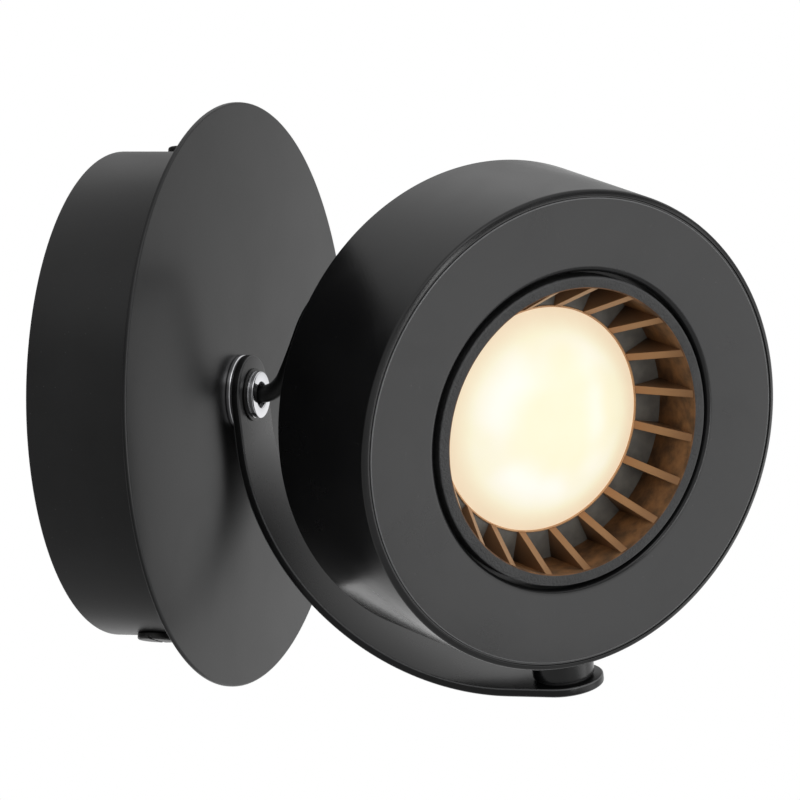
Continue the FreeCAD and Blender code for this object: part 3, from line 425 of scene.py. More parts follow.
@dataclass(frozen=True)
class LitFrost(Finish):
    """Frosted diffuser, lit warm from behind by a ring of small lamps."""

    glow: float = 0.8
    centre: Colour = (0.95, 0.89, 0.62)
    bright: Colour = (1.0, 0.99, 0.9)
    rim: Colour = (0.9, 0.71, 0.48)
    ring_place: float = 0.58
    ring_width: float = 0.34
    rim_start: float = 0.74
    patches: float = 38.0

    def dress(self, coat: Coat) -> None:
        """Links the frost, and the glow that is brightest in a ring.

        Args:
            coat: the material while it is made.
        """
        super().dress(coat)
        write = coat.write
        radial = write.node("ShaderNodeAttribute", attribute_name="radius").outputs["Fac"]
        away = write.math("ABSOLUTE", write.math("SUBTRACT", radial, self.ring_place))
        ring = write.ramp(away, 0.0, self.ring_width, 1.0, 0.0)
        patch = write.ramp(write.noise(coat.place, self.patches, 1.0), 0.35, 0.62)
        colour = write.mix(write.math("MULTIPLY", ring, patch), self.centre, self.bright)
        colour = write.mix(write.ramp(radial, self.rim_start, 1.0), colour, self.rim)
        coat.link(Emission_Color=colour)
        coat.shader.inputs["Emission Strength"].default_value = self.glow


# the black lacquers carry a painted highlight, a paler colour along their rounded edges
BLACK = EdgeHighlightLacquer("matt black disc lacquer", (0.007, 0.007, 0.0072), (0.010, 0.010, 0.0102),
                     roughness=0.3, specular=0.3)
BLACK_DRUM = EdgeHighlightLacquer("matt black drum lacquer", (0.006, 0.006, 0.0062), (0.009, 0.009, 0.0092),
                          roughness=0.36, specular=0.42)
# bright painted highlight along the bar's rounded edges
BLACK_BAR = EdgeHighlightLacquer("matt black bar lacquer", (0.006, 0.006, 0.0062), (0.009, 0.009, 0.0092),
                         roughness=0.26, specular=0.34, highlight_strength=0.9,
                         highlight_colour=(0.2, 0.2, 0.2))
BLACK_POST = EdgeHighlightLacquer("matt black post lacquer", (0.007, 0.007, 0.0072), (0.010, 0.010, 0.0102),
                          roughness=0.22)
# bright painted highlight along the housing's rounded edges
BLACK_HEAD = EdgeHighlightLacquer("matt black head lacquer", (0.007, 0.007, 0.0072), (0.010, 0.010, 0.0102),
                          roughness=0.2, roughness_spread=0.05, smudge=0.05, swell=26.0,
                          specular=0.52, highlight_strength=0.95, highlight_colour=(0.2, 0.2, 0.2))
BLACK_SCREW = Finish("blackened screw", (0.012, 0.012, 0.012), (0.02, 0.019, 0.018), roughness=0.35,
                     grain=2600.0, relief=0.006)
CHROME = DrawnMetal("polished chrome", (0.82, 0.82, 0.84), (0.76, 0.77, 0.8), roughness=0.05,
                    roughness_spread=0.03, metallic=1.0, relief=0.001, dust=0.05, smudge=0.04)
ZINC = DrawnMetal("bright zinc", (0.55, 0.57, 0.6), (0.42, 0.44, 0.5), roughness=0.32, metallic=1.0,
                  swell=240.0, relief=0.004, line_relief=0.004)
# paler painted highlight along the rim's rounded edges
LAMP_RIM = EdgeHighlightLacquer("lamp rim coating", (0.018, 0.018, 0.018), (0.03, 0.03, 0.03), roughness=0.42,
                        grain=1100.0, relief=0.45, swell_share=0.1, highlight_colour=(0.14, 0.14, 0.14))
COPPER = Finish("copper-toned casting", (0.22, 0.1, 0.036), (0.08, 0.038, 0.016), roughness=0.45,
                metallic=0.5, grain=900.0, relief=0.05, swell=180.0, dust=0.1)
# painted shade on the fin sides, far darker than the recess wall's copper, and a painted highlight on the
# crests
SHADED_FIN_COPPER = EdgeHighlightLacquer("copper fins with painted shade and highlight", (0.04, 0.02, 0.009), (0.02, 0.01, 0.005), roughness=0.36,
                          metallic=0.55, grain=900.0, relief=0.05, swell=180.0, dust=0.1,
                          highlight_colour=(0.37, 0.2, 0.1), highlight_strength=0.95)
BEAD_COPPER = Finish("bright copper bead", (0.62, 0.36, 0.18), (0.5, 0.27, 0.13), roughness=0.35,
                     metallic=0.5, relief=0.01)
FLOOR_CAST = Finish("dark grey casting", (0.09, 0.083, 0.072), (0.13, 0.12, 0.1), roughness=0.6,
                    grain=1200.0, relief=0.06, swell=200.0)
FROST = LitFrost("lit frosted lens", (0.3, 0.28, 0.24), (0.27, 0.25, 0.21), roughness=0.45, grain=2200.0,
                 relief=0.004, dust=0.0)
SHEATH = Finish("cord sheath", (0.004, 0.004, 0.0042), (0.007, 0.007, 0.007), roughness=0.36, specular=0.35,
                grain=2600.0, relief=0.006)
BLACK_NYLON = Finish("black nylon", (0.014, 0.014, 0.015), (0.021, 0.021, 0.022), roughness=0.5,
                     grain=3000.0, relief=0.02)
WHITE_NYLON = Finish("white nylon", (0.72, 0.71, 0.67), (0.66, 0.65, 0.6), roughness=0.45, grain=2600.0,
                     relief=0.012)
GREY_PLASTIC = Finish("grey moulded case", (0.16, 0.165, 0.17), (0.13, 0.135, 0.14), roughness=0.55,
                      grain=2200.0, relief=0.03)
BOARD = Finish("board mask", (0.7, 0.7, 0.67), (0.64, 0.64, 0.62), roughness=0.35, relief=0.004)
PHOSPHOR = Finish("phosphor", (0.8, 0.6, 0.12), (0.75, 0.5, 0.1), roughness=0.4, relief=0.004)
BRASS = DrawnMetal("tinned brass", (0.66, 0.6, 0.48), (0.58, 0.5, 0.36), roughness=0.3, metallic=1.0)
WIRE = Finish("wire insulation", (0.09, 0.045, 0.02), (0.12, 0.06, 0.03), roughness=0.4, relief=0.005)

FINISHES = (
    BLACK, BLACK_DRUM, BLACK_BAR, BLACK_POST, BLACK_HEAD, BLACK_SCREW, CHROME, ZINC, LAMP_RIM, COPPER,
    SHADED_FIN_COPPER, BEAD_COPPER, FLOOR_CAST, FROST, SHEATH, BLACK_NYLON, WHITE_NYLON, GREY_PLASTIC, BOARD,
    PHOSPHOR, BRASS, WIRE,
)


class Paintbox:
    """Every finish as a material, built once."""

    def __init__(self) -> None:
        """Builds the shared groups and the materials."""
        groups = {"grain": grain_group(), "handling": handling_group(), "lines": lines_group()}
        self._made = {finish.label: finish.material(groups) for finish in FINISHES}

    def __getitem__(self, finish: Finish) -> bpy.types.Material:
        """The material of a finish."""
        return self._made[finish.label]


# ---------------------------------------- meshes

SHARP_TURN = math.radians(32)
AS_IT_IS = Axes(Matrix.Identity(4))


@dataclass(frozen=True)
class Corner:
    """A corner of a turned profile: its radius from the axis, its height, its rounding and how strongly a
    painted highlight shows along that rounding.
    """

    radius: float
    height: float
    rounding: float = 0.0
    painted_shine: float = 1.0


@dataclass(frozen=True)
class ProfilePoint:
    """A point of a finished profile, and how strongly the painted edge highlight shows there, from 0 to 1."""

    radius: float
    height: float
    edge: float = 0.0


def new_object(name: str, data: bpy.types.ID) -> bpy.types.Object:
    """Puts a new object in the scene, at the origin.

    Args:
        name: the object's name.
        data: its mesh, curve, camera or lamp.

    Returns:
        The object.
    """
    made = bpy.data.objects.new(name, data)
    bpy.context.scene.collection.objects.link(made)
    return made


def rounded_profile(corners: Sequence[Corner], steps: int = 5) -> list[ProfilePoint]:
    """A closed profile with its corners rounded by arcs.

    Args:
        corners: the profile's corners in order.
        steps: segments in each arc.

    Returns:
        The profile's points.
    """
    count = len(corners)
    points: list[ProfilePoint] = []
    for place, corner in enumerate(corners):
        here = Vector((corner.radius, corner.height))
        if corner.rounding <= 0:
            points.append(ProfilePoint(corner.radius, corner.height))
            continue
        before, after = corners[place - 1], corners[(place + 1) % count]
        back = (Vector((before.radius, before.height)) - here).normalized()
        ahead = (Vector((after.radius, after.height)) - here).normalized()
        half = back.angle(ahead) / 2
        reach = corner.rounding / math.tan(half)
        middle = here + (back + ahead).normalized() * (corner.rounding / math.sin(half))
        start, stop = here + back * reach - middle, here + ahead * reach - middle
        turn = start.angle_signed(stop)
        for step in range(steps + 1):
            spoke = start.copy()
            spoke.rotate(Matrix.Rotation(-turn * step / steps, 2))
            # share of the painted edge highlight, strongest in the middle of the rounding
            share = corner.painted_shine * math.sin(math.pi * step / steps)
            points.append(ProfilePoint(middle.x + spoke.x, middle.y + spoke.y, share))
    return points


@dataclass(frozen=True)
class Piece:
    """What a finished piece is called, and what it rides on, stands for and is made of."""

    name: str
    body: Body
    slot: str
    finish: Finish
    replaces: tuple[str, ...] = ()


class Workshop:
    """Turns bmesh shapes into finished pieces of the scene."""

    def __init__(self, paints: Paintbox, nodes: dict[str, bpy.types.Object]) -> None:
        """Keeps the materials and the CAD nodes at hand.

        Args:
            paints: every finish as a material.
            nodes: the CAD nodes by name.
        """
        self.paints = paints
        self.nodes = nodes
        self.copies = radial_tree()

    def mesh_object(self, name: str, shape: bmesh.types.BMesh, axes: Axes = AS_IT_IS) -> bpy.types.Object:
        """A mesh object at the origin, from a shape in local millimetres.

        Args:
            name: the object's name.
            shape: the shape, which is freed.
            axes: the axes that the shape is in.

        Returns:
            The linked object.
        """
        bmesh.ops.remove_doubles(shape, verts=shape.verts, dist=1e-7)
        bmesh.ops.recalc_face_normals(shape, faces=shape.faces)
        soften(shape)
        mesh = bpy.data.meshes.new(name)
        shape.to_mesh(mesh)
        shape.free()
        mesh.transform(axes.matrix)
        return new_object(name, mesh)

    def finish(self, made: bpy.types.Object, piece: Piece) -> bpy.types.Object:
        """Gives a piece its material and body, and hides the CAD nodes that it stands for.

        Args:
            made: the finished mesh's object.
            piece: what it is called, rides on, stands for and is made of.

        Returns:
            The same object.
        """
        made.name = made.data.name = piece.name
        made.data.materials.clear()
        made.data.materials.append(self.paints[piece.finish])
        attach(made, piece.body.value)
        if piece.replaces:
            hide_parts(*piece.replaces)
        LOG.info("%s rides on %s, %d faces", piece.name, piece.body.value, len(made.data.polygons))
        return made

    def turned(self, piece: Piece, axes: Axes, corners: Sequence[Corner], segments: int = 192,
               steps: int = 5, centre: Point2 = (0.0, 0.0)) -> bpy.types.Object:
        """A piece turned about its local z axis.

        Args:
            piece: the piece.
            axes: the axes that it is in.
            corners: its profile's corners.
            segments: steps round the axis.
            steps: segments in each rounding.
            centre: where its axis stands.

        Returns:
            The finished object.
        """
        shape = lathe(rounded_profile(corners, steps), segments)
        bmesh.ops.translate(shape, verts=shape.verts, vec=(centre[0], centre[1], 0.0))
        return self.finish(self.mesh_object(piece.name, shape, axes), piece)

    def repeated(self, piece: Piece, axes: Axes, shape: bmesh.types.BMesh, count: int) -> bpy.types.Object:
        """A piece made of even copies of a shape round its local z axis.

        Args:
            piece: the piece.
            axes: the axes that it is in.
            shape: the shape, which is freed.
            count: how many copies.

        Returns:
            The finished object.
        """
        seed = self.mesh_object(piece.name, shape)
        values = {"Count": count, "Material": self.paints[piece.finish]}
        return self.finish(run_tree(seed, self.copies, values, axes), piece)

    def cut(self, made: bpy.types.Object, shape: bmesh.types.BMesh, axes: Axes) -> None:
        """Takes a closed shape in local millimetres out of an object.

        Args:
            made: the object.
            shape: the shape, which is freed.
            axes: the axes that the shape is in.
        """
        tool = self.mesh_object("cutter", shape, axes)
        modifier = made.modifiers.new("cut", "BOOLEAN")
        modifier.object, modifier.operation, modifier.solver = tool, "DIFFERENCE", "EXACT"
        made.data = evaluated_mesh(made)
        made.modifiers.clear()
        bpy.data.objects.remove(tool, do_unlink=True)
        whole = bmesh.new()
        whole.from_mesh(made.data)
        soften(whole)
        whole.to_mesh(made.data)
        whole.free()

    def repaint(self, finish: Finish, *names: str) -> None:
        """Gives CAD nodes whose shape is right a better material.

        Args:
            finish: the finish.
            names: the nodes' names.
        """
        for name in names:
            node = self.nodes[name]
            for slot in node.material_slots:
                slot.material = self.paints[finish]
            LOG.info("%s keeps its CAD shape, in %s", name, finish.label)


def lathe(profile: Sequence[ProfilePoint], segments: int) -> bmesh.types.BMesh:
    """A closed shape turned about z.

    Args:
        profile: the closed profile, whose points on the axis become poles.
        segments: steps round the axis.

    Returns:
        The shape, with the painted highlight of its rounded edges in "edge" and the share of its widest
        radius in "radius".
    """
    shape = bmesh.new()
    layer = shape.verts.layers.float.new("edge")
    share = shape.verts.layers.float.new("radius")
    widest = max(point.radius for point in profile)
    rings: list[list[bmesh.types.BMVert]] = []
    for point in profile:
        count = 1 if point.radius < 1e-6 else segments
        ring = []
        for step in range(count):
            angle = 2 * math.pi * step / segments
            out = (math.cos(angle), math.sin(angle))
            vert = shape.verts.new((point.radius * out[0], point.radius * out[1], point.height))
            vert[layer] = point.edge
            vert[share] = point.radius / widest
            ring.append(vert)
        rings.append(ring)
    for low, high in zip(rings, rings[1:] + rings[:1]):
        if len(low) == 1 and len(high) == 1:
            continue
        for step in range(segments):
            ahead = (step + 1) % segments
            under = [low[place % len(low)] for place in (step, ahead)]
            over = [high[place % len(high)] for place in (ahead, step)]
            shape.faces.new(list(dict.fromkeys(under + over)))
    return shape


def soften(shape: bmesh.types.BMesh) -> None:
    """Shades a shape smoothly, apart from edges that turn too far to be a rounding.

    Args:
        shape: the shape.
    """
    for edge in shape.edges:
        edge.smooth = len(edge.link_faces) == 2 and edge.calc_face_angle(math.pi) < SHARP_TURN
    for face in shape.faces:
        face.smooth = True


def evaluated_mesh(made: bpy.types.Object) -> bpy.types.Mesh:
    """The plain mesh that an object's modifiers or curve give."""
    graph = bpy.context.evaluated_depsgraph_get()
    return bpy.data.meshes.new_from_object(made.evaluated_get(graph), depsgraph=graph)


def centreline(points: Sequence[Vector], steps: int = 14) -> list[Vector]:
    """Points read from a smooth NURBS curve.

    Args:
        points: the curve's control points.
        steps: points on each stretch.

    Returns:
        Points along the curve, from end to end.
    """
    data = bpy.data.curves.new("centreline", "CURVE")
    data.dimensions = "3D"
    data.resolution_u = steps
    spline = data.splines.new("NURBS")
    spline.points.add(len(points) - 1)
    for place, point in zip(spline.points, points):
        place.co = (*point, 1.0)
    spline.order_u = 3
    spline.use_endpoint_u = True
    made = new_object("centreline", data)
    mesh = evaluated_mesh(made)
    line = [vert.co.copy() for vert in mesh.vertices]
    bpy.data.objects.remove(made, do_unlink=True)
    bpy.data.meshes.remove(mesh)
    return line


def swept(line: Sequence[Vector], radius: float, sides: int) -> bmesh.types.BMesh:
    """A capped round tube along a line, without twist.

    Args:
        line: points along the tube's middle.
        radius: the tube's radius.
        sides: steps round the tube.

    Returns:
        The shape.
    """
    shape = bmesh.new()
    heading = (line[1] - line[0]).normalized()
    across = heading.orthogonal().normalized()
    rings: list[list[bmesh.types.BMVert]] = []
    for place, point in enumerate(line):
        before, after = line[max(place - 1, 0)], line[min(place + 1, len(line) - 1)]
        turned = (after - before).normalized()
        across.rotate(heading.rotation_difference(turned))
        heading = turned
        side = heading.cross(across)
        ring = []
        for step in range(sides):
            angle = 2 * math.pi * step / sides
            ring.append(shape.verts.new(point + radius * (math.cos(angle) * across + math.sin(angle) * side)))
        rings.append(ring)
    for low, high in zip(rings, rings[1:]):
        for step in range(sides):
            ahead = (step + 1) % sides
            shape.faces.new((low[step], low[ahead], high[ahead], high[step]))
    shape.faces.new(rings[0][::-1])
    shape.faces.new(rings[-1])
    return shape


def rod(radius: float, low: float, high: float, segments: int) -> bmesh.types.BMesh:
    """A plain round rod along z, which bores are cut with."""
    ends = ((0.0, low), (radius, low), (radius, high), (0.0, high))
    return lathe([ProfilePoint(*end) for end in ends], segments)


def block(low: Point3, high: Point3) -> bmesh.types.BMesh:
    """A box between two corners.

    Args:
        low: the corner with the least x, y and z.
        high: the corner with the greatest.

    Returns:
        The shape.
    """
    shape = bmesh.new()
    bmesh.ops.create_cube(shape, size=1.0)
    for vert in shape.verts:
        for axis in range(3):
            vert.co[axis] = low[axis] if vert.co[axis] < 0 else high[axis]
    return shape


# ---------------------------------------- geometry nodes


def radial_tree() -> bpy.types.NodeTree:
    """A Geometry Nodes tree that sets copies of its own mesh evenly round z.

    Returns:
        The tree, whose inputs are the count and the material.
    """
    tree = bpy.data.node_groups.new("copies round an axis", "GeometryNodeTree")
    for label, kind in (("Geometry", "Geometry"), ("Count", "Int"), ("Material", "Material")):
        tree.interface.new_socket(label, in_out="INPUT", socket_type="NodeSocket" + kind)
    tree.interface.new_socket("Geometry", in_out="OUTPUT", socket_type="NodeSocketGeometry")
    write = TreeWriter(tree)
    given = write.node("NodeGroupInput").outputs
    points = write.node("GeometryNodePoints", {"Count": given["Count"]})
    index = write.node("GeometryNodeInputIndex").outputs[0]
    angle = write.math("MULTIPLY", index, write.math("DIVIDE", 2 * math.pi, given["Count"]))
    turn = write.node("ShaderNodeCombineXYZ", {2: angle})
    rotation = write.node("FunctionNodeEulerToRotation", {0: turn.outputs[0]})
    copies = write.node("GeometryNodeInstanceOnPoints", {
        "Points": points.outputs[0], "Instance": given["Geometry"], "Rotation": rotation.outputs[0],
    })
    real = write.node("GeometryNodeRealizeInstances", {0: copies.outputs[0]})
    inputs = {"Geometry": real.outputs[0], "Material": given["Material"]}
    painted = write.node("GeometryNodeSetMaterial", inputs)
    write.node("NodeGroupOutput", {0: painted.outputs[0]})
    return tree


def run_tree(made: bpy.types.Object, tree: bpy.types.NodeTree, values: dict[str, object],
             axes: Axes) -> bpy.types.Object:
    """Runs a Geometry Nodes tree on an object once and keeps its result as a plain mesh.

    Args:
        made: the object, whose mesh is in local millimetres.
        tree: the tree.
        values: its named inputs.
        axes: the axes that the result is placed in.

    Returns:
        The same object with the finished mesh and no modifier.
    """
    modifier = made.modifiers.new("copies", "NODES")
    modifier.node_group = tree
    sockets = {item.name: item.identifier for item in tree.interface.items_tree if item.in_out == "INPUT"}
    for name, value in values.items():
        modifier[sockets[name]] = value
    made.data = evaluated_mesh(made)
    made.modifiers.clear()
    made.data.transform(axes.matrix)
    return made


# ---------------------------------------- sub-assemblies


@dataclass
class SubAssembly:
    """A part of the light that a maker would put together on its own."""

    shop: Workshop


@dataclass
class Canopy(SubAssembly):
    """Wall canopy: a drawn drum, a wide front disc, side screws, the swivel and the wiring inside."""

    drum_radius: float = 83.1
    drum_depth: float = 42.2
    drum_wall: float = 1.2
    disc_radius: float = 100.0
    disc_thickness: float = 1.6
    nipple_hole: float = 5.05
    screw_height: float = 18.5
    screw_radius: float = 2.0
    screw_start: float = 75.7
    screw_head: float = 6.75
    screw_rise: float = 2.2
    collar_radius: float = 13.6
    collar_thickness: float = 1.7
    strip_thickness: float = 3.0
    washer_radius: float = 9.0
    washer_thickness: float = 0.7
    nut_radius: float = 8.05
    nut_height: float = 2.4
    nut_mouth: float = 4.45
    nut_lip: float = 1.1
    nut_chamfer: float = 0.1
    nut_groove: float = 0.5
    nut_groove_half: float = 0.15
    slot_depth: float = 0.8
    slot_half: float = 0.6
    lead_points: tuple[Point3, ...] = (
        (0.0, 0.0, 50.4), (0.0, 0.0, 26.0), (0.0, -55.55, 26.0), (19.5, -67.55, 27.5),
        (39.0, -67.55, 29.0), (39.0, -52.7, 29.0),
    )

    def build(self) -> None:
        """Builds and dresses the canopy."""
        self.shell()
        self.side_screws()
        self.swivel()
        self.wiring()

    def shell(self) -> None:
        """The drum and the disc on its front."""
        inside = self.drum_radius - self.drum_wall
        web = self.drum_depth - self.drum_wall
        front = self.drum_depth + self.disc_thickness
        self.shop.turned(
            Piece("drawn_drum", Body.BASE, "black_lacquer_steel", BLACK_DRUM, ("canopy_drum",)), CANOPY,
            [Corner(inside, 0.0, 0.3), Corner(self.drum_radius, 0.0, 0.5),
             Corner(self.drum_radius, self.drum_depth, 0.8), Corner(self.nipple_hole, self.drum_depth),
             Corner(self.nipple_hole, web), Corner(inside, web, 0.8)], segments=256)
        self.shop.turned(
            Piece("wide_disc", Body.BASE, "black_lacquer_steel", BLACK, ("front_disc",)), CANOPY,
            [Corner(self.nipple_hole, self.drum_depth), Corner(self.disc_radius, self.drum_depth, 0.35),
             Corner(self.disc_radius, front, 0.7), Corner(self.nipple_hole, front)], segments=288)

    def side_screws(self) -> None:
        """Two round-edged flat heads on the drum's side, each with a driver slot."""
        top = self.drum_radius + self.screw_rise
        shape = lathe(rounded_profile([
            Corner(0.0, self.screw_start), Corner(self.screw_radius, self.screw_start, 0.4),
            Corner(self.screw_radius, self.drum_radius), Corner(self.screw_head, self.drum_radius, 0.3),
            Corner(self.screw_head, top, 0.8), Corner(0.0, top)], 4), 72)
        raised = Matrix.Translation((0.0, 0.0, self.screw_height))
        upright = raised @ Matrix.Rotation(math.radians(-90), 4, "X")
        bmesh.ops.transform(shape, verts=shape.verts, matrix=upright)
        piece = Piece("side_screws", Body.BASE, "black_screw", BLACK_SCREW, ("side_thumbscrews",))
        made = self.shop.repeated(piece, CANOPY, shape, 2)
        for side in (-1, 1):
            slot = block((-self.screw_head - 1, top - self.slot_depth, self.screw_height - self.slot_half),
                         (self.screw_head + 1, top + 1, self.screw_height + self.slot_half))
            if side < 0:
                bmesh.ops.rotate(slot, verts=slot.verts, matrix=Matrix.Rotation(math.pi, 3, "Z"))
            self.shop.cut(made, slot, CANOPY)

    def swivel(self) -> None:
        """Bright collar and ring nut, and the dark washer between them."""
        disc = self.drum_depth + self.disc_thickness
        strip_back = disc + self.collar_thickness
        washer = strip_back + self.strip_thickness
        nut = washer + self.washer_thickness
        lip, front = nut + self.nut_height - self.nut_lip, nut + self.nut_height
        groove = (nut + lip) / 2
        self.shop.turned(
            Piece("bright_collar", Body.BASE, "polished_chrome", CHROME, ("swivel_collar",)), CANOPY,
            [Corner(self.nipple_hole, disc), Corner(self.collar_radius, disc, 0.3),
             Corner(self.collar_radius, strip_back, 0.5), Corner(self.nipple_hole, strip_back)], steps=6)
        self.shop.turned(
            Piece("dark_washer", Body.BASE, "black_screw", BLACK_SCREW, ("front_washer",)), CANOPY,
            [Corner(self.nipple_hole, washer), Corner(self.washer_radius, washer, 0.12),
             Corner(self.washer_radius, nut, 0.2), Corner(self.nipple_hole, nut)], steps=3)
        self.shop.turned(
            Piece("bright_nut", Body.BASE, "polished_chrome", CHROME, ("ring_nut",)), CANOPY,
            [Corner(self.nipple_hole, nut), Corner(self.nut_radius, nut, 0.3),
             Corner(self.nut_radius - self.nut_chamfer, groove - self.nut_groove_half),
             Corner(self.nut_radius - self.nut_groove, groove, 0.1),
             Corner(self.nut_radius - self.nut_chamfer, groove + self.nut_groove_half),
             Corner(self.nut_radius, front, 0.45),
             Corner(self.nut_mouth, front, 0.35), Corner(self.nut_mouth, lip), Corner(self.nipple_hole, lip)],
            segments=128)

    def wiring(self) -> None:
        """The lead inside, and the hardware whose CAD shape is right."""
        line = centreline([CANOPY.point(*point) for point in self.lead_points])
        self.shop.finish(self.shop.mesh_object("inner_lead", swept(line, CORD_RADIUS * MM, 28)),
                         Piece("inner_lead", Body.BASE, "black_cord", SHEATH, ("canopy_lead",)))
        self.shop.repaint(ZINC, "wall_bracket", "earth_screw", "terminal_screws", "driver_screws",
                          "grip_screws", "nipple_washer", "nipple_nut")
        self.shop.repaint(BLACK_SCREW, "threaded_nipple")
        self.shop.repaint(WHITE_NYLON, "terminal_block")
        self.shop.repaint(GREY_PLASTIC, "driver_case")
        self.shop.repaint(BLACK_NYLON, "cord_grip")


# ---------------------------------------- arm

CORD_RADIUS = 3.0
CORD_POINTS: tuple[Point3, ...] = (
    (0.0, -0.0504, 0.0), (0.0, -0.0578, 0.0004), (-0.0015, -0.0640, 0.0125), (-0.0006, -0.0703, 0.0305),
    (0.0094, -0.0816, 0.0430), (0.0168, -0.0972, 0.0444), (0.01755, -0.11292, 0.03814),
    (0.01222, -0.12035, 0.03644),
)


@dataclass
class Arm(SubAssembly):
    """Flat-bar arm, bent through a quarter circle, and the free cord from the nut to the head."""

    half_width: float = 13.5
    thickness: float = 3.0
    rounding: float = 0.55
    straight: float = 14.4
    inner_bend: float = 86.1
    foot: float = 15.9
    back: float = 45.5
    swivel_hole: float = 5.05
    screw_hole: float = 2.55
    screw_seat: float = 5.05
    bend_steps: int = 60
    cap_steps: int = 18
    edge_steps: int = 4

    @property
    def outer_bend(self) -> float:
        """Radius of the bend's outer face."""
        return self.inner_bend + self.thickness

    @property
    def middle_bend(self) -> float:
        """Radius of the bend's middle."""
        return self.inner_bend + self.thickness / 2

    @property
    def reach(self) -> float:
        """Flat length from the swivel hole to the pivot hole."""
        return self.straight + self.middle_bend * math.pi / 2 + self.foot

    def bent(self, x: float, along: float, height: float) -> Vector:
        """Where a point of the flat bar lies once the bar is bent.

        Args:
            x: how far the point is across the bar.
            along: how far it is along the flat bar from the swivel hole.
            height: how far it is above the bar's back face.

        Returns:
            The point in the arm's axes.
        """
        centre = self.back + self.outer_bend
        if along <= self.straight:
            return Vector((x, -along, self.back + height))
        radius = self.outer_bend - height
        turn = (along - self.straight) / self.middle_bend
        if turn <= math.pi / 2:
            return Vector((x, -self.straight - radius * math.sin(turn), centre - radius * math.cos(turn)))
        rest = along - self.straight - self.middle_bend * math.pi / 2
        return Vector((x, -self.straight - radius, centre + rest))

    def stations(self, inset: float) -> list[Point2]:
        """The flat bar's outline, from one tip to the other.

        Args:
            inset: how far the outline is drawn in.

        Returns:
            Half widths and places along the bar.
        """
        radius = self.half_width - inset
        quarter = [math.pi / 2 * step / self.cap_steps for step in range(self.cap_steps + 1)]
        points = [(radius * math.sin(angle), -radius * math.cos(angle)) for angle in quarter]
        arc = self.middle_bend * math.pi / 2
        points.append((radius, self.straight / 2))
        points += [(radius, self.straight + arc * step / self.bend_steps)
                   for step in range(self.bend_steps + 1)]
        points.append((radius, self.straight + arc + self.foot / 2))
        points += [(radius * math.sin(angle), self.reach + radius * math.cos(angle))
                   for angle in quarter[::-1]]
        return points

    def levels(self) -> list[tuple[float, float, float]]:
        """The rings round the bar's rounded edge.

        Returns:
            Insets, heights and shares of the painted edge highlight, from the back face to the front.
        """
        quarter = [math.pi / 2 * step / self.edge_steps for step in range(self.edge_steps + 1)]
        low = [(self.rounding * (1 - math.sin(angle)), self.rounding * (1 - math.cos(angle)),
                math.sin(2 * angle)) for angle in quarter]
        high = [(inset, self.thickness - height, share) for inset, height, share in reversed(low)]
        return low + high

    def bar(self) -> bmesh.types.BMesh:
        """The bent bar with rounded edges.

        Returns:
            The shape in the arm's axes.
        """
        shape = bmesh.new()
        edge = shape.verts.layers.float.new("edge")
        rings: list[tuple[list[bmesh.types.BMVert], list[bmesh.types.BMVert]]] = []
        for inset, height, share in self.levels():
            right, left = [], []
            for half, along in self.stations(inset):
                right.append(shape.verts.new(self.bent(half, along, height)))
                tip = half < 1e-6
                left.append(right[-1] if tip else shape.verts.new(self.bent(-half, along, height)))
            for vert in (*right, *left):
                # the share of the painted edge highlight on this ring of the bar
                vert[edge] = share
            rings.append((right, left))
        for (right, left), (right_up, left_up) in zip(rings, rings[1:]):
            for low, high in ((right, right_up), (left[::-1], left_up[::-1])):
                for step in range(len(low) - 1):
                    shape.faces.new((low[step], low[step + 1], high[step + 1], high[step]))
        for right, left in (rings[0], rings[-1]):
            for step in range(len(right) - 1):
                corners = (right[step], right[step + 1], left[step + 1], left[step])
                shape.faces.new(list(dict.fromkeys(corners)))
        return shape

    def build(self) -> None:
        """Builds and dresses the arm."""
        piece = Piece("flat_bar", Body.ARM, "black_lacquer_steel", BLACK_BAR, ("arm_strip",))
        made = self.shop.mesh_object(piece.name, self.bar(), ARM)
        self.shop.cut(made, rod(self.swivel_hole, self.back - 1, self.back + self.thickness + 1, 96), ARM)
        outside = self.straight + self.outer_bend
        inside = self.straight + self.inner_bend
        seat = lathe(rounded_profile([
            Corner(0.0, inside - 1), Corner(self.screw_hole, inside - 1),
            Corner(self.screw_hole, outside - self.screw_seat + self.screw_hole),
            Corner(self.screw_seat, outside), Corner(self.screw_seat, outside + 1),
            Corner(0.0, outside + 1)]), 72)
        foot = Axes(ARM.matrix @ Matrix.Translation((0.0, 0.0, PIVOT_REACH))).tipped(90)
        self.shop.cut(made, seat, foot)
        self.shop.finish(made, piece)
        self.shop.repaint(BLACK_NYLON, "pivot_washer")
        self.cord()

    def cord(self) -> None:
        """The free cord from the nut to the head, laid as one fixed tube that does not follow the head."""
        line = centreline([Vector(point) for point in CORD_POINTS], 18)
        made = self.shop.mesh_object("supply_cord", swept(line, CORD_RADIUS * MM, 36))
        made.data.materials.append(self.shop.paints[SHEATH])
        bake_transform(made)
        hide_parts("lamp_cord")


# ---------------------------------------- head


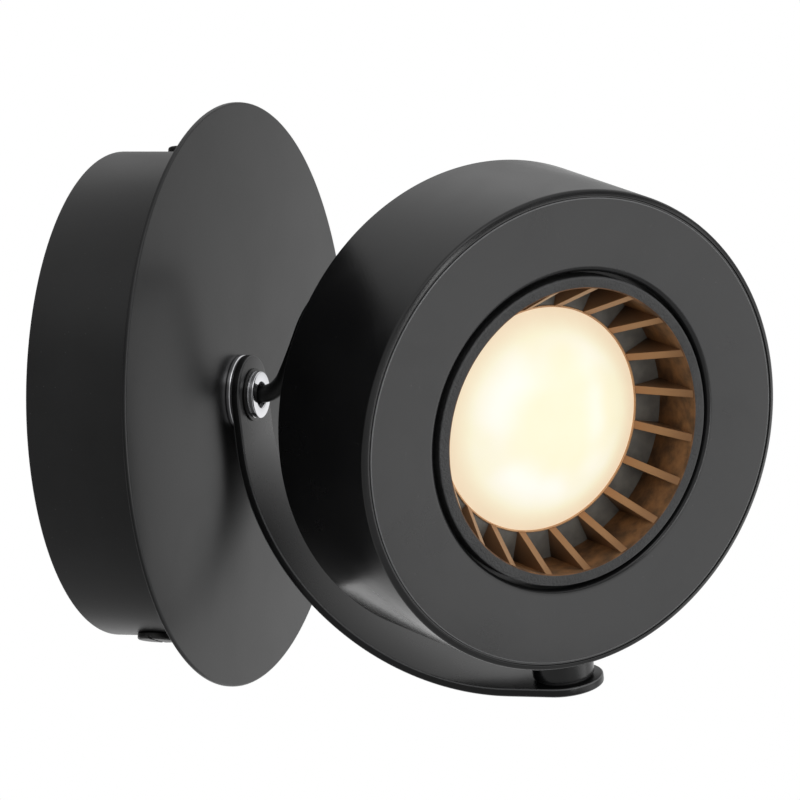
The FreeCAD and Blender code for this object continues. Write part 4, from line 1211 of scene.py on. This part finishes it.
@dataclass
class Housing(SubAssembly):
    """The head's pivot, drawn housing, back cover and cord bush."""

    radius: float = 82.8
    depth: float = 54.6
    wall: float = 1.5
    face_thickness: float = 2.0
    face_rounding: float = 1.5
    face_drop: float = 1.05
    band_drop: float = 0.1
    groove_inset: float = 2.4
    groove_depth: float = 0.7
    groove_places: tuple[float, ...] = (0.5, 0.3, -0.2, -0.3)
    hole_radius: float = 54.7
    lip_rounding: float = 2.2
    lip_depth: float = 4.5
    lip_thickness: float = 1.5
    cover_recess: float = 2.5
    cover_thickness: float = 1.5
    cover_play: float = 0.15
    plate_margin: float = 1.0
    pillar_circle: float = 70.2
    screw_head: float = 3.8
    screw_rise: float = 2.0
    screw_shank: float = 2.0
    screw_play: float = 0.05
    screw_length: float = 8.0
    slot_depth: float = 0.9
    slot_half: float = 0.5
    post_radius: float = 10.6
    post_length: float = 9.9
    pivot_hole: float = 2.55
    running_gap: float = 0.02
    bush_offset: float = 38.0
    bush_bore: float = 3.05
    bush_tip: float = 4.3
    bush_neck: float = 5.9
    bush_play: float = 0.05
    bush_flange: float = 8.0
    bush_snap: float = 7.5
    flange_height: float = 2.0
    nose_foot: float = 2.6
    nose_length: float = 6.35
    nose_start: float = 4.4
    nose_spread: float = 1.5
    snap_length: float = 1.6
    ring_count: int = 4
    ring_start: float = 1.1
    ring_pitch: float = 1.25
    ring_shape: tuple[Point2, ...] = ((0.0, 0.0), (-0.35, 0.2), (-0.2, 0.55), (0.2, 0.75))

    @property
    def cover_back(self) -> float:
        """Height of the back cover's outer face."""
        return self.cover_recess - self.depth / 2

    def build(self) -> None:
        """Builds and dresses the housing."""
        self.shell()
        self.post()
        self.cover()
        self.bush()
        self.shop.repaint(BLACK_SCREW, "pivot_screw")
        self.shop.repaint(ZINC, "pivot_saddle", "pivot_nut", "cover_pillars", "carrier_spacers")
        self.shop.repaint(BLACK_SCREW, "lamp_carrier", "lamp_clips")

    def shell(self) -> None:
        """Drawn cup with a fine groove round its face and a wide hole whose lip turns inwards."""
        front, back, inside = self.depth / 2, -self.depth / 2, self.radius - self.wall
        lip, lip_outside = front - self.lip_depth, self.hole_radius + self.lip_thickness
        groove = self.radius - self.groove_inset
        band, outer, inner, face = (groove + place for place in self.groove_places)
        # corners at full share carry the painted edge highlight; the face's outer rounding and the hole's lip
        # carry none
        made = self.shop.turned(
            Piece("drawn_housing", Body.HEAD, "black_lacquer_steel", BLACK_HEAD, ("head_housing",)), HEAD,
            [Corner(inside, back, 0.3), Corner(self.radius, back, 0.4),
             Corner(self.radius, front - self.face_drop, self.face_rounding, 0.0),
             Corner(band, front - self.band_drop, 0.2, 0.0),
             Corner(outer, front - self.groove_depth, 0.1, 0.0),
             Corner(inner, front - self.groove_depth, 0.1, 0.0), Corner(face, front, 0.5),
             Corner(self.hole_radius, front, self.lip_rounding, 0.0), Corner(self.hole_radius, lip, 0.3),
             Corner(lip_outside, lip, 0.3), Corner(lip_outside, front - self.face_thickness, 0.8),
             Corner(inside, front - self.face_thickness, 1.0)], segments=288, steps=10)
        self.shop.cut(made, rod(self.pivot_hole, inside - 2, self.radius + 2, 48), SWING.tipped(90))

    def post(self) -> None:
        """Turned post between the arm and the housing, its top fitted to the round side."""
        bottom = self.radius + self.post_length - self.running_gap
        shape = lathe(rounded_profile([
            Corner(self.pivot_hole, self.radius - 1), Corner(self.post_radius, self.radius - 1),
            Corner(self.post_radius, bottom, 0.5), Corner(self.pivot_hole, bottom)]), 144)
        for vert in shape.verts:
            if vert.co.z < self.radius:
                vert.co.z = math.sqrt(self.radius ** 2 - vert.co.x ** 2)
        piece = Piece("pivot_post", Body.HEAD, "black_lacquer_aluminium", BLACK_POST, ("pivot_spacer",))
        self.shop.finish(self.shop.mesh_object(piece.name, shape, SWING.tipped(90)), piece)

    def cover(self) -> None:
        """Back cover with its three screws."""
        low, high = self.cover_back, self.cover_back + self.cover_thickness
        edge = self.radius - self.wall - self.cover_play
        made = self.shop.turned(
            Piece("back_plate", Body.HEAD, "black_lacquer_steel", BLACK_HEAD, ("back_cover",)), HEAD,
            [Corner(0.0, low), Corner(edge - self.plate_margin, low), Corner(edge, low, 0.5),
             Corner(edge, high, 0.3), Corner(edge - self.plate_margin, high), Corner(0.0, high)],
            segments=256)
        holes = [(0.0, self.bush_offset, self.bush_neck + self.bush_play)]
        for step in range(3):
            angle = 2 * math.pi * step / 3
            holes.append((-self.pillar_circle * math.sin(angle), self.pillar_circle * math.cos(angle),
                          self.screw_shank + self.screw_play))
        for x, y, radius in holes:
            hole = rod(radius, low - 1, high + 1, 64)
            bmesh.ops.translate(hole, verts=hole.verts, vec=(x, y, 0.0))
            self.shop.cut(made, hole, HEAD)
        head = low - self.screw_rise
        screw = lathe(rounded_profile([
            Corner(0.0, head), Corner(self.screw_head, head, 0.9), Corner(self.screw_head, low, 0.15),
            Corner(self.screw_shank, low), Corner(self.screw_shank, low + self.screw_length, 0.3),
            Corner(0.0, low + self.screw_length)], 6), 56)
        slot = block((-self.screw_head - 1, -self.slot_half, head - 1),
                     (self.screw_head + 1, self.slot_half, head + self.slot_depth))
        seed = self.shop.mesh_object("screw", screw)
        self.shop.cut(seed, slot, AS_IT_IS)
        shape = bmesh.new()
        shape.from_mesh(seed.data)
        bpy.data.objects.remove(seed, do_unlink=True)
        bmesh.ops.translate(shape, verts=shape.verts, vec=(0.0, self.pillar_circle, 0.0))
        self.shop.repeated(
            Piece("plate_screws", Body.HEAD, "black_screw", BLACK_SCREW, ("cover_screws",)), HEAD, shape, 3)

    def bush(self) -> None:
        """Snap-in bush with grooves round its tapered nose, and the sheath's end in it."""
        back, front = self.cover_back, self.cover_back + self.cover_thickness
        nose, flange, inner = back - self.nose_foot, back - self.flange_height, front + self.snap_length
        tip = nose - self.nose_length
        rings: list[Corner] = []
        for step in range(self.ring_count):
            low = tip + self.ring_start + self.ring_pitch * step
            wide = self.nose_start + self.nose_spread * (low - tip) / self.nose_length
            rings += [Corner(wide + out, low + up, 0.1) for out, up in self.ring_shape]
        neck = self.bush_neck
        self.shop.turned(
            Piece("grooved_bush", Body.HEAD, "black_nylon", BLACK_NYLON, ("cord_bush",)), HEAD,
            [Corner(self.bush_bore, tip), Corner(self.bush_tip, tip, 0.3), *rings, Corner(neck, nose, 0.2),
             Corner(self.bush_flange, flange, 0.3), Corner(self.bush_flange, back, 0.15), Corner(neck, back),
             Corner(neck, front), Corner(self.bush_snap, front), Corner(neck, inner),
             Corner(self.bush_bore, inner)], segments=96, steps=3, centre=(0.0, self.bush_offset))
        self.shop.turned(
            Piece("sheath_end", Body.HEAD, "black_cord", SHEATH, ("head_lead",)), HEAD,
            [Corner(0.0, tip), Corner(CORD_RADIUS, tip), Corner(CORD_RADIUS, inner, 0.3), Corner(0.0, inner)],
            segments=48, centre=(0.0, self.bush_offset))


@dataclass
class Lamp(SubAssembly):
    """Round lamp: cast rim and body, copper-toned recess with a fan of gusset fins, and a frosted lens."""

    rim_radius: float = 53.3
    rim_inside: float = 49.2
    rim_front: float = 27.8
    rim_back: float = 20.25
    liner: float = 0.4
    liner_step: float = 0.15
    body_radius: float = 51.0
    shoulder: float = 1.25
    body_back: float = -7.75
    back_radius: float = 36.0
    floor: float = 6.5
    fins: int = 20
    fin_thickness: float = 2.8
    fin_step: float = 0.5
    fin_rounding: float = 0.5
    crest_share: float = 0.9
    fin_root: float = 0.2
    seat_play: float = 0.05
    bead_play: float = 0.02
    bead_width: float = 0.75
    bead_height: float = 0.55
    lens_radius: float = 38.6
    lens_rise: float = 10.0
    lens_wall: float = 2.0
    lens_skirt: float = 5.0
    board_radius: float = 35.45
    board_back: float = -1.85
    wire_radius: float = 1.1
    wire_spread: float = 1.4
    wire_height: float = 38.0
    wire_start: float = -21.7
    wire_middle: float = -17.275
    wire_end: float = -17.25
    pin_spread: float = 26.5
    pin_height: float = 2.0

    def build(self) -> None:
        """Builds and dresses the lamp."""
        self.casting()
        self.fan()
        self.lens()
        self.wires()
        self.shop.repaint(BOARD, "led_board")
        self.shop.repaint(PHOSPHOR, "led_chips")
        self.shop.repaint(GREY_PLASTIC, "rear_cap")
        self.shop.repaint(BRASS, "lamp_pins")
        self.shop.repaint(WHITE_NYLON, "lamp_plugs")

    def casting(self) -> None:
        """Dark coated rim and body, with a bare copper-toned wall and a dark grey floor inside."""
        lined = self.rim_inside + self.liner
        seat = self.lens_radius + self.seat_play
        lens_seat = self.floor - self.lens_skirt
        liner_top = self.rim_front - self.liner_step
        self.shop.turned(
            Piece("cast_rim_and_body", Body.HEAD, "lamp_casting", LAMP_RIM, ("heat_sink",)), HEAD,
            [Corner(lined, self.rim_front, 0.15), Corner(self.rim_radius, self.rim_front, 0.8),
             Corner(self.rim_radius, self.rim_back, 0.2), Corner(self.body_radius, self.rim_back),
             Corner(self.body_radius, self.shoulder, 1.0), Corner(self.back_radius, self.body_back, 1.0),
             Corner(0.0, self.body_back), Corner(0.0, self.board_back),
             Corner(self.board_radius, self.board_back), Corner(self.board_radius, lens_seat),
             Corner(seat, lens_seat), Corner(seat, self.floor - self.liner),
             Corner(lined, self.floor - self.liner)], segments=256)
        self.shop.turned(
            Piece("recess_wall", Body.HEAD, "lamp_casting", COPPER), HEAD,
            [Corner(lined, self.floor), Corner(lined, liner_top), Corner(self.rim_inside, liner_top, 0.25),
             Corner(self.rim_inside, self.floor)], segments=256)
        self.shop.turned(
            Piece("recess_floor", Body.HEAD, "lamp_casting", FLOOR_CAST), HEAD,
            [Corner(seat, self.floor - self.liner), Corner(lined, self.floor - self.liner),
             Corner(lined, self.floor), Corner(seat, self.floor)], segments=256)
        low, high = self.floor - self.liner, self.floor + self.bead_height
        bead_in, bead_out = self.lens_radius + self.bead_play, self.lens_radius + self.bead_width
        self.shop.turned(
            Piece("lens_bead", Body.HEAD, "lamp_casting", BEAD_COPPER), HEAD,
            [Corner(bead_in, low), Corner(bead_in, high, 0.2), Corner(bead_out, high, 0.3),
             Corner(bead_out, low)], segments=256, steps=4)

    def fin(self) -> bmesh.types.BMesh:
        """One gusset from the lens's edge up to the rim, its sloping edge rounded.

        Returns:
            The shape, with its rounded crest marked in "edge" for a painted highlight.
        """
        shape = bmesh.new()
        edge = shape.verts.layers.float.new("edge")
        half, top = self.fin_thickness / 2, self.rim_front - self.fin_step
        foot = self.lens_radius + self.seat_play
        root, low = self.rim_inside + self.fin_root, self.floor - self.fin_root
        outline = [(foot, low), (root, low), (root, top), (self.rim_inside, top), (foot, self.floor)]
        sides = [[shape.verts.new((x, side * half, z)) for x, z in outline] for side in (-1, 1)]
        shape.faces.new(sides[0])
        shape.faces.new(sides[1][::-1])
        for place in range(len(outline)):
            ahead = (place + 1) % len(outline)
            shape.faces.new((sides[0][ahead], sides[0][place], sides[1][place], sides[1][ahead]))
        ends = {round(self.floor, 3), round(top, 3)}
        crest = [e for e in shape.edges if {round(v.co.z, 3) for v in e.verts} == ends]
        bmesh.ops.bevel(shape, geom=crest, offset=self.fin_rounding, segments=4, profile=0.5, affect="EDGES")
        slope = Vector((self.rim_inside - foot, 0.0, top - self.floor)).normalized()
        for vert in shape.verts:
            away = vert.co - Vector((foot, vert.co.y, self.floor))
            depth = (away - slope * away.dot(slope)).length
            # the crest gets the painted highlight, the rest of the fin keeps the painted shade
            vert[edge] = 1.0 if depth < self.fin_rounding * self.crest_share else 0.0
        return shape

    def fan(self) -> None:
        """The fins, evenly round the recess."""
        self.shop.repeated(
            Piece("gusset_fins", Body.HEAD, "lamp_casting", SHADED_FIN_COPPER), HEAD, self.fin(), self.fins)

    def lens(self) -> None:
        """Frosted shell lens: a shallow dome on a short skirt."""
        reach, rise, wall = self.lens_radius, self.lens_rise, self.lens_wall
        ball = (reach ** 2 + rise ** 2) / (2 * rise)
        top = self.floor + rise

        def dome(radius: float, edge: float, steps: int) -> list[ProfilePoint]:
            """Points of one face of the shell, from its pole outwards."""
            places = [edge * math.sin(math.pi / 2 * step / steps) for step in range(steps + 1)]
            return [ProfilePoint(x, top - ball + math.sqrt(radius ** 2 - x ** 2)) for x in places]

        low = self.floor - self.lens_skirt
        profile = dome(ball, reach, 40) + [ProfilePoint(reach, low), ProfilePoint(reach - wall, low)]
        profile += dome(ball - wall, reach - wall, 24)[::-1]
        piece = Piece("frosted_lens", Body.HEAD, "frosted_lens", FROST, ("lens_dome",))
        self.shop.finish(self.shop.mesh_object(piece.name, lathe(profile, 192), HEAD), piece)

    def wires(self) -> None:
        """Two single wires from the sheath's end to the push-on sleeves."""
        shape = bmesh.new()
        for side in (-1, 1):
            start, end = side * self.wire_spread, side * self.pin_spread
            places = ((start, self.wire_height, self.wire_start), (start, self.wire_height, self.wire_middle),
                      (end, self.wire_height / 2, self.wire_middle), (end, self.pin_height, self.wire_end))
            tube = swept(centreline([HEAD.point(*place) for place in places]), self.wire_radius * MM, 14)
            wire = bpy.data.meshes.new("wire")
            tube.to_mesh(wire)
            tube.free()
            shape.from_mesh(wire)
            bpy.data.meshes.remove(wire)
        self.shop.finish(self.shop.mesh_object("single_wires", shape),
                         Piece("single_wires", Body.HEAD, "wire_insulation", WIRE, ("lamp_wires",)))


# ---------------------------------------- stage


@dataclass(frozen=True)
class SoftLamp:
    """A soft area lamp that looks at a point."""

    name: str
    at: Point3
    aim: Point3
    size: Point2
    power: float

    def build(self) -> None:
        """Sets the lamp in the scene, unseen by the camera."""
        data = bpy.data.lights.new(self.name, "AREA")
        data.shape = "RECTANGLE"
        data.size, data.size_y = self.size
        data.energy = self.power
        made = new_object(self.name, data)
        look = (Vector(self.aim) - Vector(self.at)).to_track_quat("-Z", "Y").to_matrix().to_4x4()
        made.matrix_world = Matrix.Translation(Vector(self.at)) @ look
        made.visible_camera = False


def white_where_seen(write: TreeWriter, plain: Socket, level: Socket, white: str) -> Socket:
    """A shader that is white to the camera, in reflections and through clear matter, and plain as light.

    Args:
        write: the writer of the material's or the world's tree.
        plain: the shader that lights the object.
        level: how bright reflections see it. The camera sees it at 1.
        white: the type name of the shader that is seen.

    Returns:
        The mixed shader.
    """
    path = write.node("ShaderNodeLightPath").outputs
    seen = write.math("MAXIMUM", path["Is Camera Ray"], path["Is Glossy Ray"])
    seen = write.math("MAXIMUM", seen, path["Is Transmission Ray"])
    strength = write.math("MAXIMUM", level, path["Is Camera Ray"])
    bright = write.node(white, {"Color": (1.0, 1.0, 1.0, 1.0), "Strength": strength})
    return write.node("ShaderNodeMixShader", {0: seen, 1: plain, 2: bright.outputs[0]}).outputs[0]


@dataclass
class Studio:
    """Camera, floor, backdrop light and lamps."""

    azimuth: float = -68.6
    elevation: float = 1.67
    focal_pixels: float = 9000.0
    distance: float = 3.0744
    target: Point3 = (0.0, -0.06, 0.0)
    centre: Point2 = (-115.47, 5.09)
    picture: float = 800.0
    sensor: float = 36.0
    floor_height: float = -1.1
    floor_half: float = 6.0
    floor_grey: float = 0.8
    floor_shine: float = 0.4
    shine_band: Point2 = (0.8, 2.0)
    soft_light: Colour = (0.94, 0.96, 1.0)
    soft_strength: float = 0.35
    dim_edge: Point2 = (0.3, 0.92)
    dim_side: float = 0.07
    high_band: Point2 = (-0.1, 0.25)
    high_share: float = 0.45
    top_band: Point2 = (0.3, 0.75)
    top_lift: float = 0.65
    left_band: Point2 = (-0.9, -0.4)
    left_lift: float = 0.42
    lamps: tuple[SoftLamp, ...] = (
        SoftLamp("front panel", (0.1, -2.2, -0.15), (0.0, -0.1, -0.1), (2.2, 1.9), 17.0),
        SoftLamp("edge strip", (-1.3, -1.72, -0.15), (0.0, -0.1, -0.1), (0.35, 1.85), 9.0),
        SoftLamp("top left", (-1.3, -0.9, 1.7), (0.0, -0.1, 0.0), (1.2, 1.2), 3.5),
    )

    def camera(self) -> None:
        """The camera at the photograph's viewing angle."""
        turn, tilt = math.radians(self.azimuth), math.radians(self.elevation)
        back = Vector((math.sin(turn) * math.cos(tilt), -math.cos(turn) * math.cos(tilt), math.sin(tilt)))
        right = Vector((math.cos(turn), math.sin(turn), 0.0))
        up = back.cross(right)
        aside = self.distance / self.focal_pixels
        spot = Vector(self.target) + back * self.distance
        spot -= right * self.centre[0] * aside + up * self.centre[1] * aside
        data = bpy.data.cameras.new("camera")
        data.sensor_width = data.sensor_height = self.sensor
        data.sensor_fit = "HORIZONTAL"
        data.lens = self.focal_pixels / self.picture * self.sensor
        data.clip_end = 50.0
        made = new_object("camera", data)
        made.matrix_world = Matrix.Translation(spot) @ Matrix((right, up, back)).transposed().to_4x4()
        bpy.context.scene.camera = made

    def backdrop(self) -> None:
        """A world that is white to the camera, graded by direction in reflections, and soft grey as light."""
        world = bpy.data.worlds.new("studio")
        write = blank_tree(world)
        glow = {"Color": (*self.soft_light, 1.0), "Strength": self.soft_strength}
        soft = write.node("ShaderNodeBackground", glow)
        place = write.node("ShaderNodeTexCoord").outputs["Generated"]
        way = write.node("ShaderNodeSeparateXYZ", {0: place}).outputs
        level = write.ramp(way["X"], *self.dim_edge, self.dim_side, 1.0)
        level = write.math("MULTIPLY", level, write.ramp(way["Z"], *self.high_band, 1.0, self.high_share))
        level = write.math("ADD", level, write.ramp(way["Z"], *self.top_band, 0.0, self.top_lift))
        level = write.math("ADD", level, write.ramp(way["X"], *self.left_band, self.left_lift, 0.0))
        level = write.math("MINIMUM", level, 1.0)
        mixed = white_where_seen(write, soft.outputs[0], level, "ShaderNodeBackground")
        write.node("ShaderNodeOutputWorld", {0: mixed})
        bpy.context.scene.world = world

    def floor(self) -> None:
        """A plain pale floor that is white to the camera."""
        shape = bmesh.new()
        bmesh.ops.create_grid(shape, x_segments=1, y_segments=1, size=self.floor_half)
        bmesh.ops.translate(shape, verts=shape.verts, vec=(0.0, 0.0, self.floor_height))
        mesh = bpy.data.meshes.new("floor")
        shape.to_mesh(mesh)
        shape.free()
        made = new_object("floor", mesh)
        material = bpy.data.materials.new("pale floor")
        write = blank_tree(material)
        plain = write.node("ShaderNodeBsdfDiffuse", {"Color": (*[self.floor_grey] * 3, 1.0)})
        place = write.node("ShaderNodeTexCoord").outputs["Object"]
        way = write.node("ShaderNodeSeparateXYZ", {0: place}).outputs
        shine = write.ramp(way["X"], *self.shine_band, self.floor_shine, 1.0)
        mixed = white_where_seen(write, plain.outputs[0], shine, "ShaderNodeEmission")
        write.node("ShaderNodeOutputMaterial", {0: mixed})
        mesh.materials.append(material)

    def build(self) -> None:
        """Sets the camera, the backdrop, the floor and the lamps."""
        self.camera()
        self.backdrop()
        self.floor()
        for lamp in self.lamps:
            lamp.build()
        bpy.context.scene.view_settings.view_transform = "Standard"


def main() -> None:
    """Builds the light from the canopy outwards, then the studio."""
    logging.basicConfig(level=logging.INFO, format="%(message)s")
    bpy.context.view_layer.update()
    shop = Workshop(Paintbox(), frame["nodes"])
    for kind in (Arm, Canopy, Housing, Lamp):
        LOG.info("building the %s", kind.__name__.lower())
        kind(shop).build()
    Studio().build()


if __name__ == "__main__":
    main()
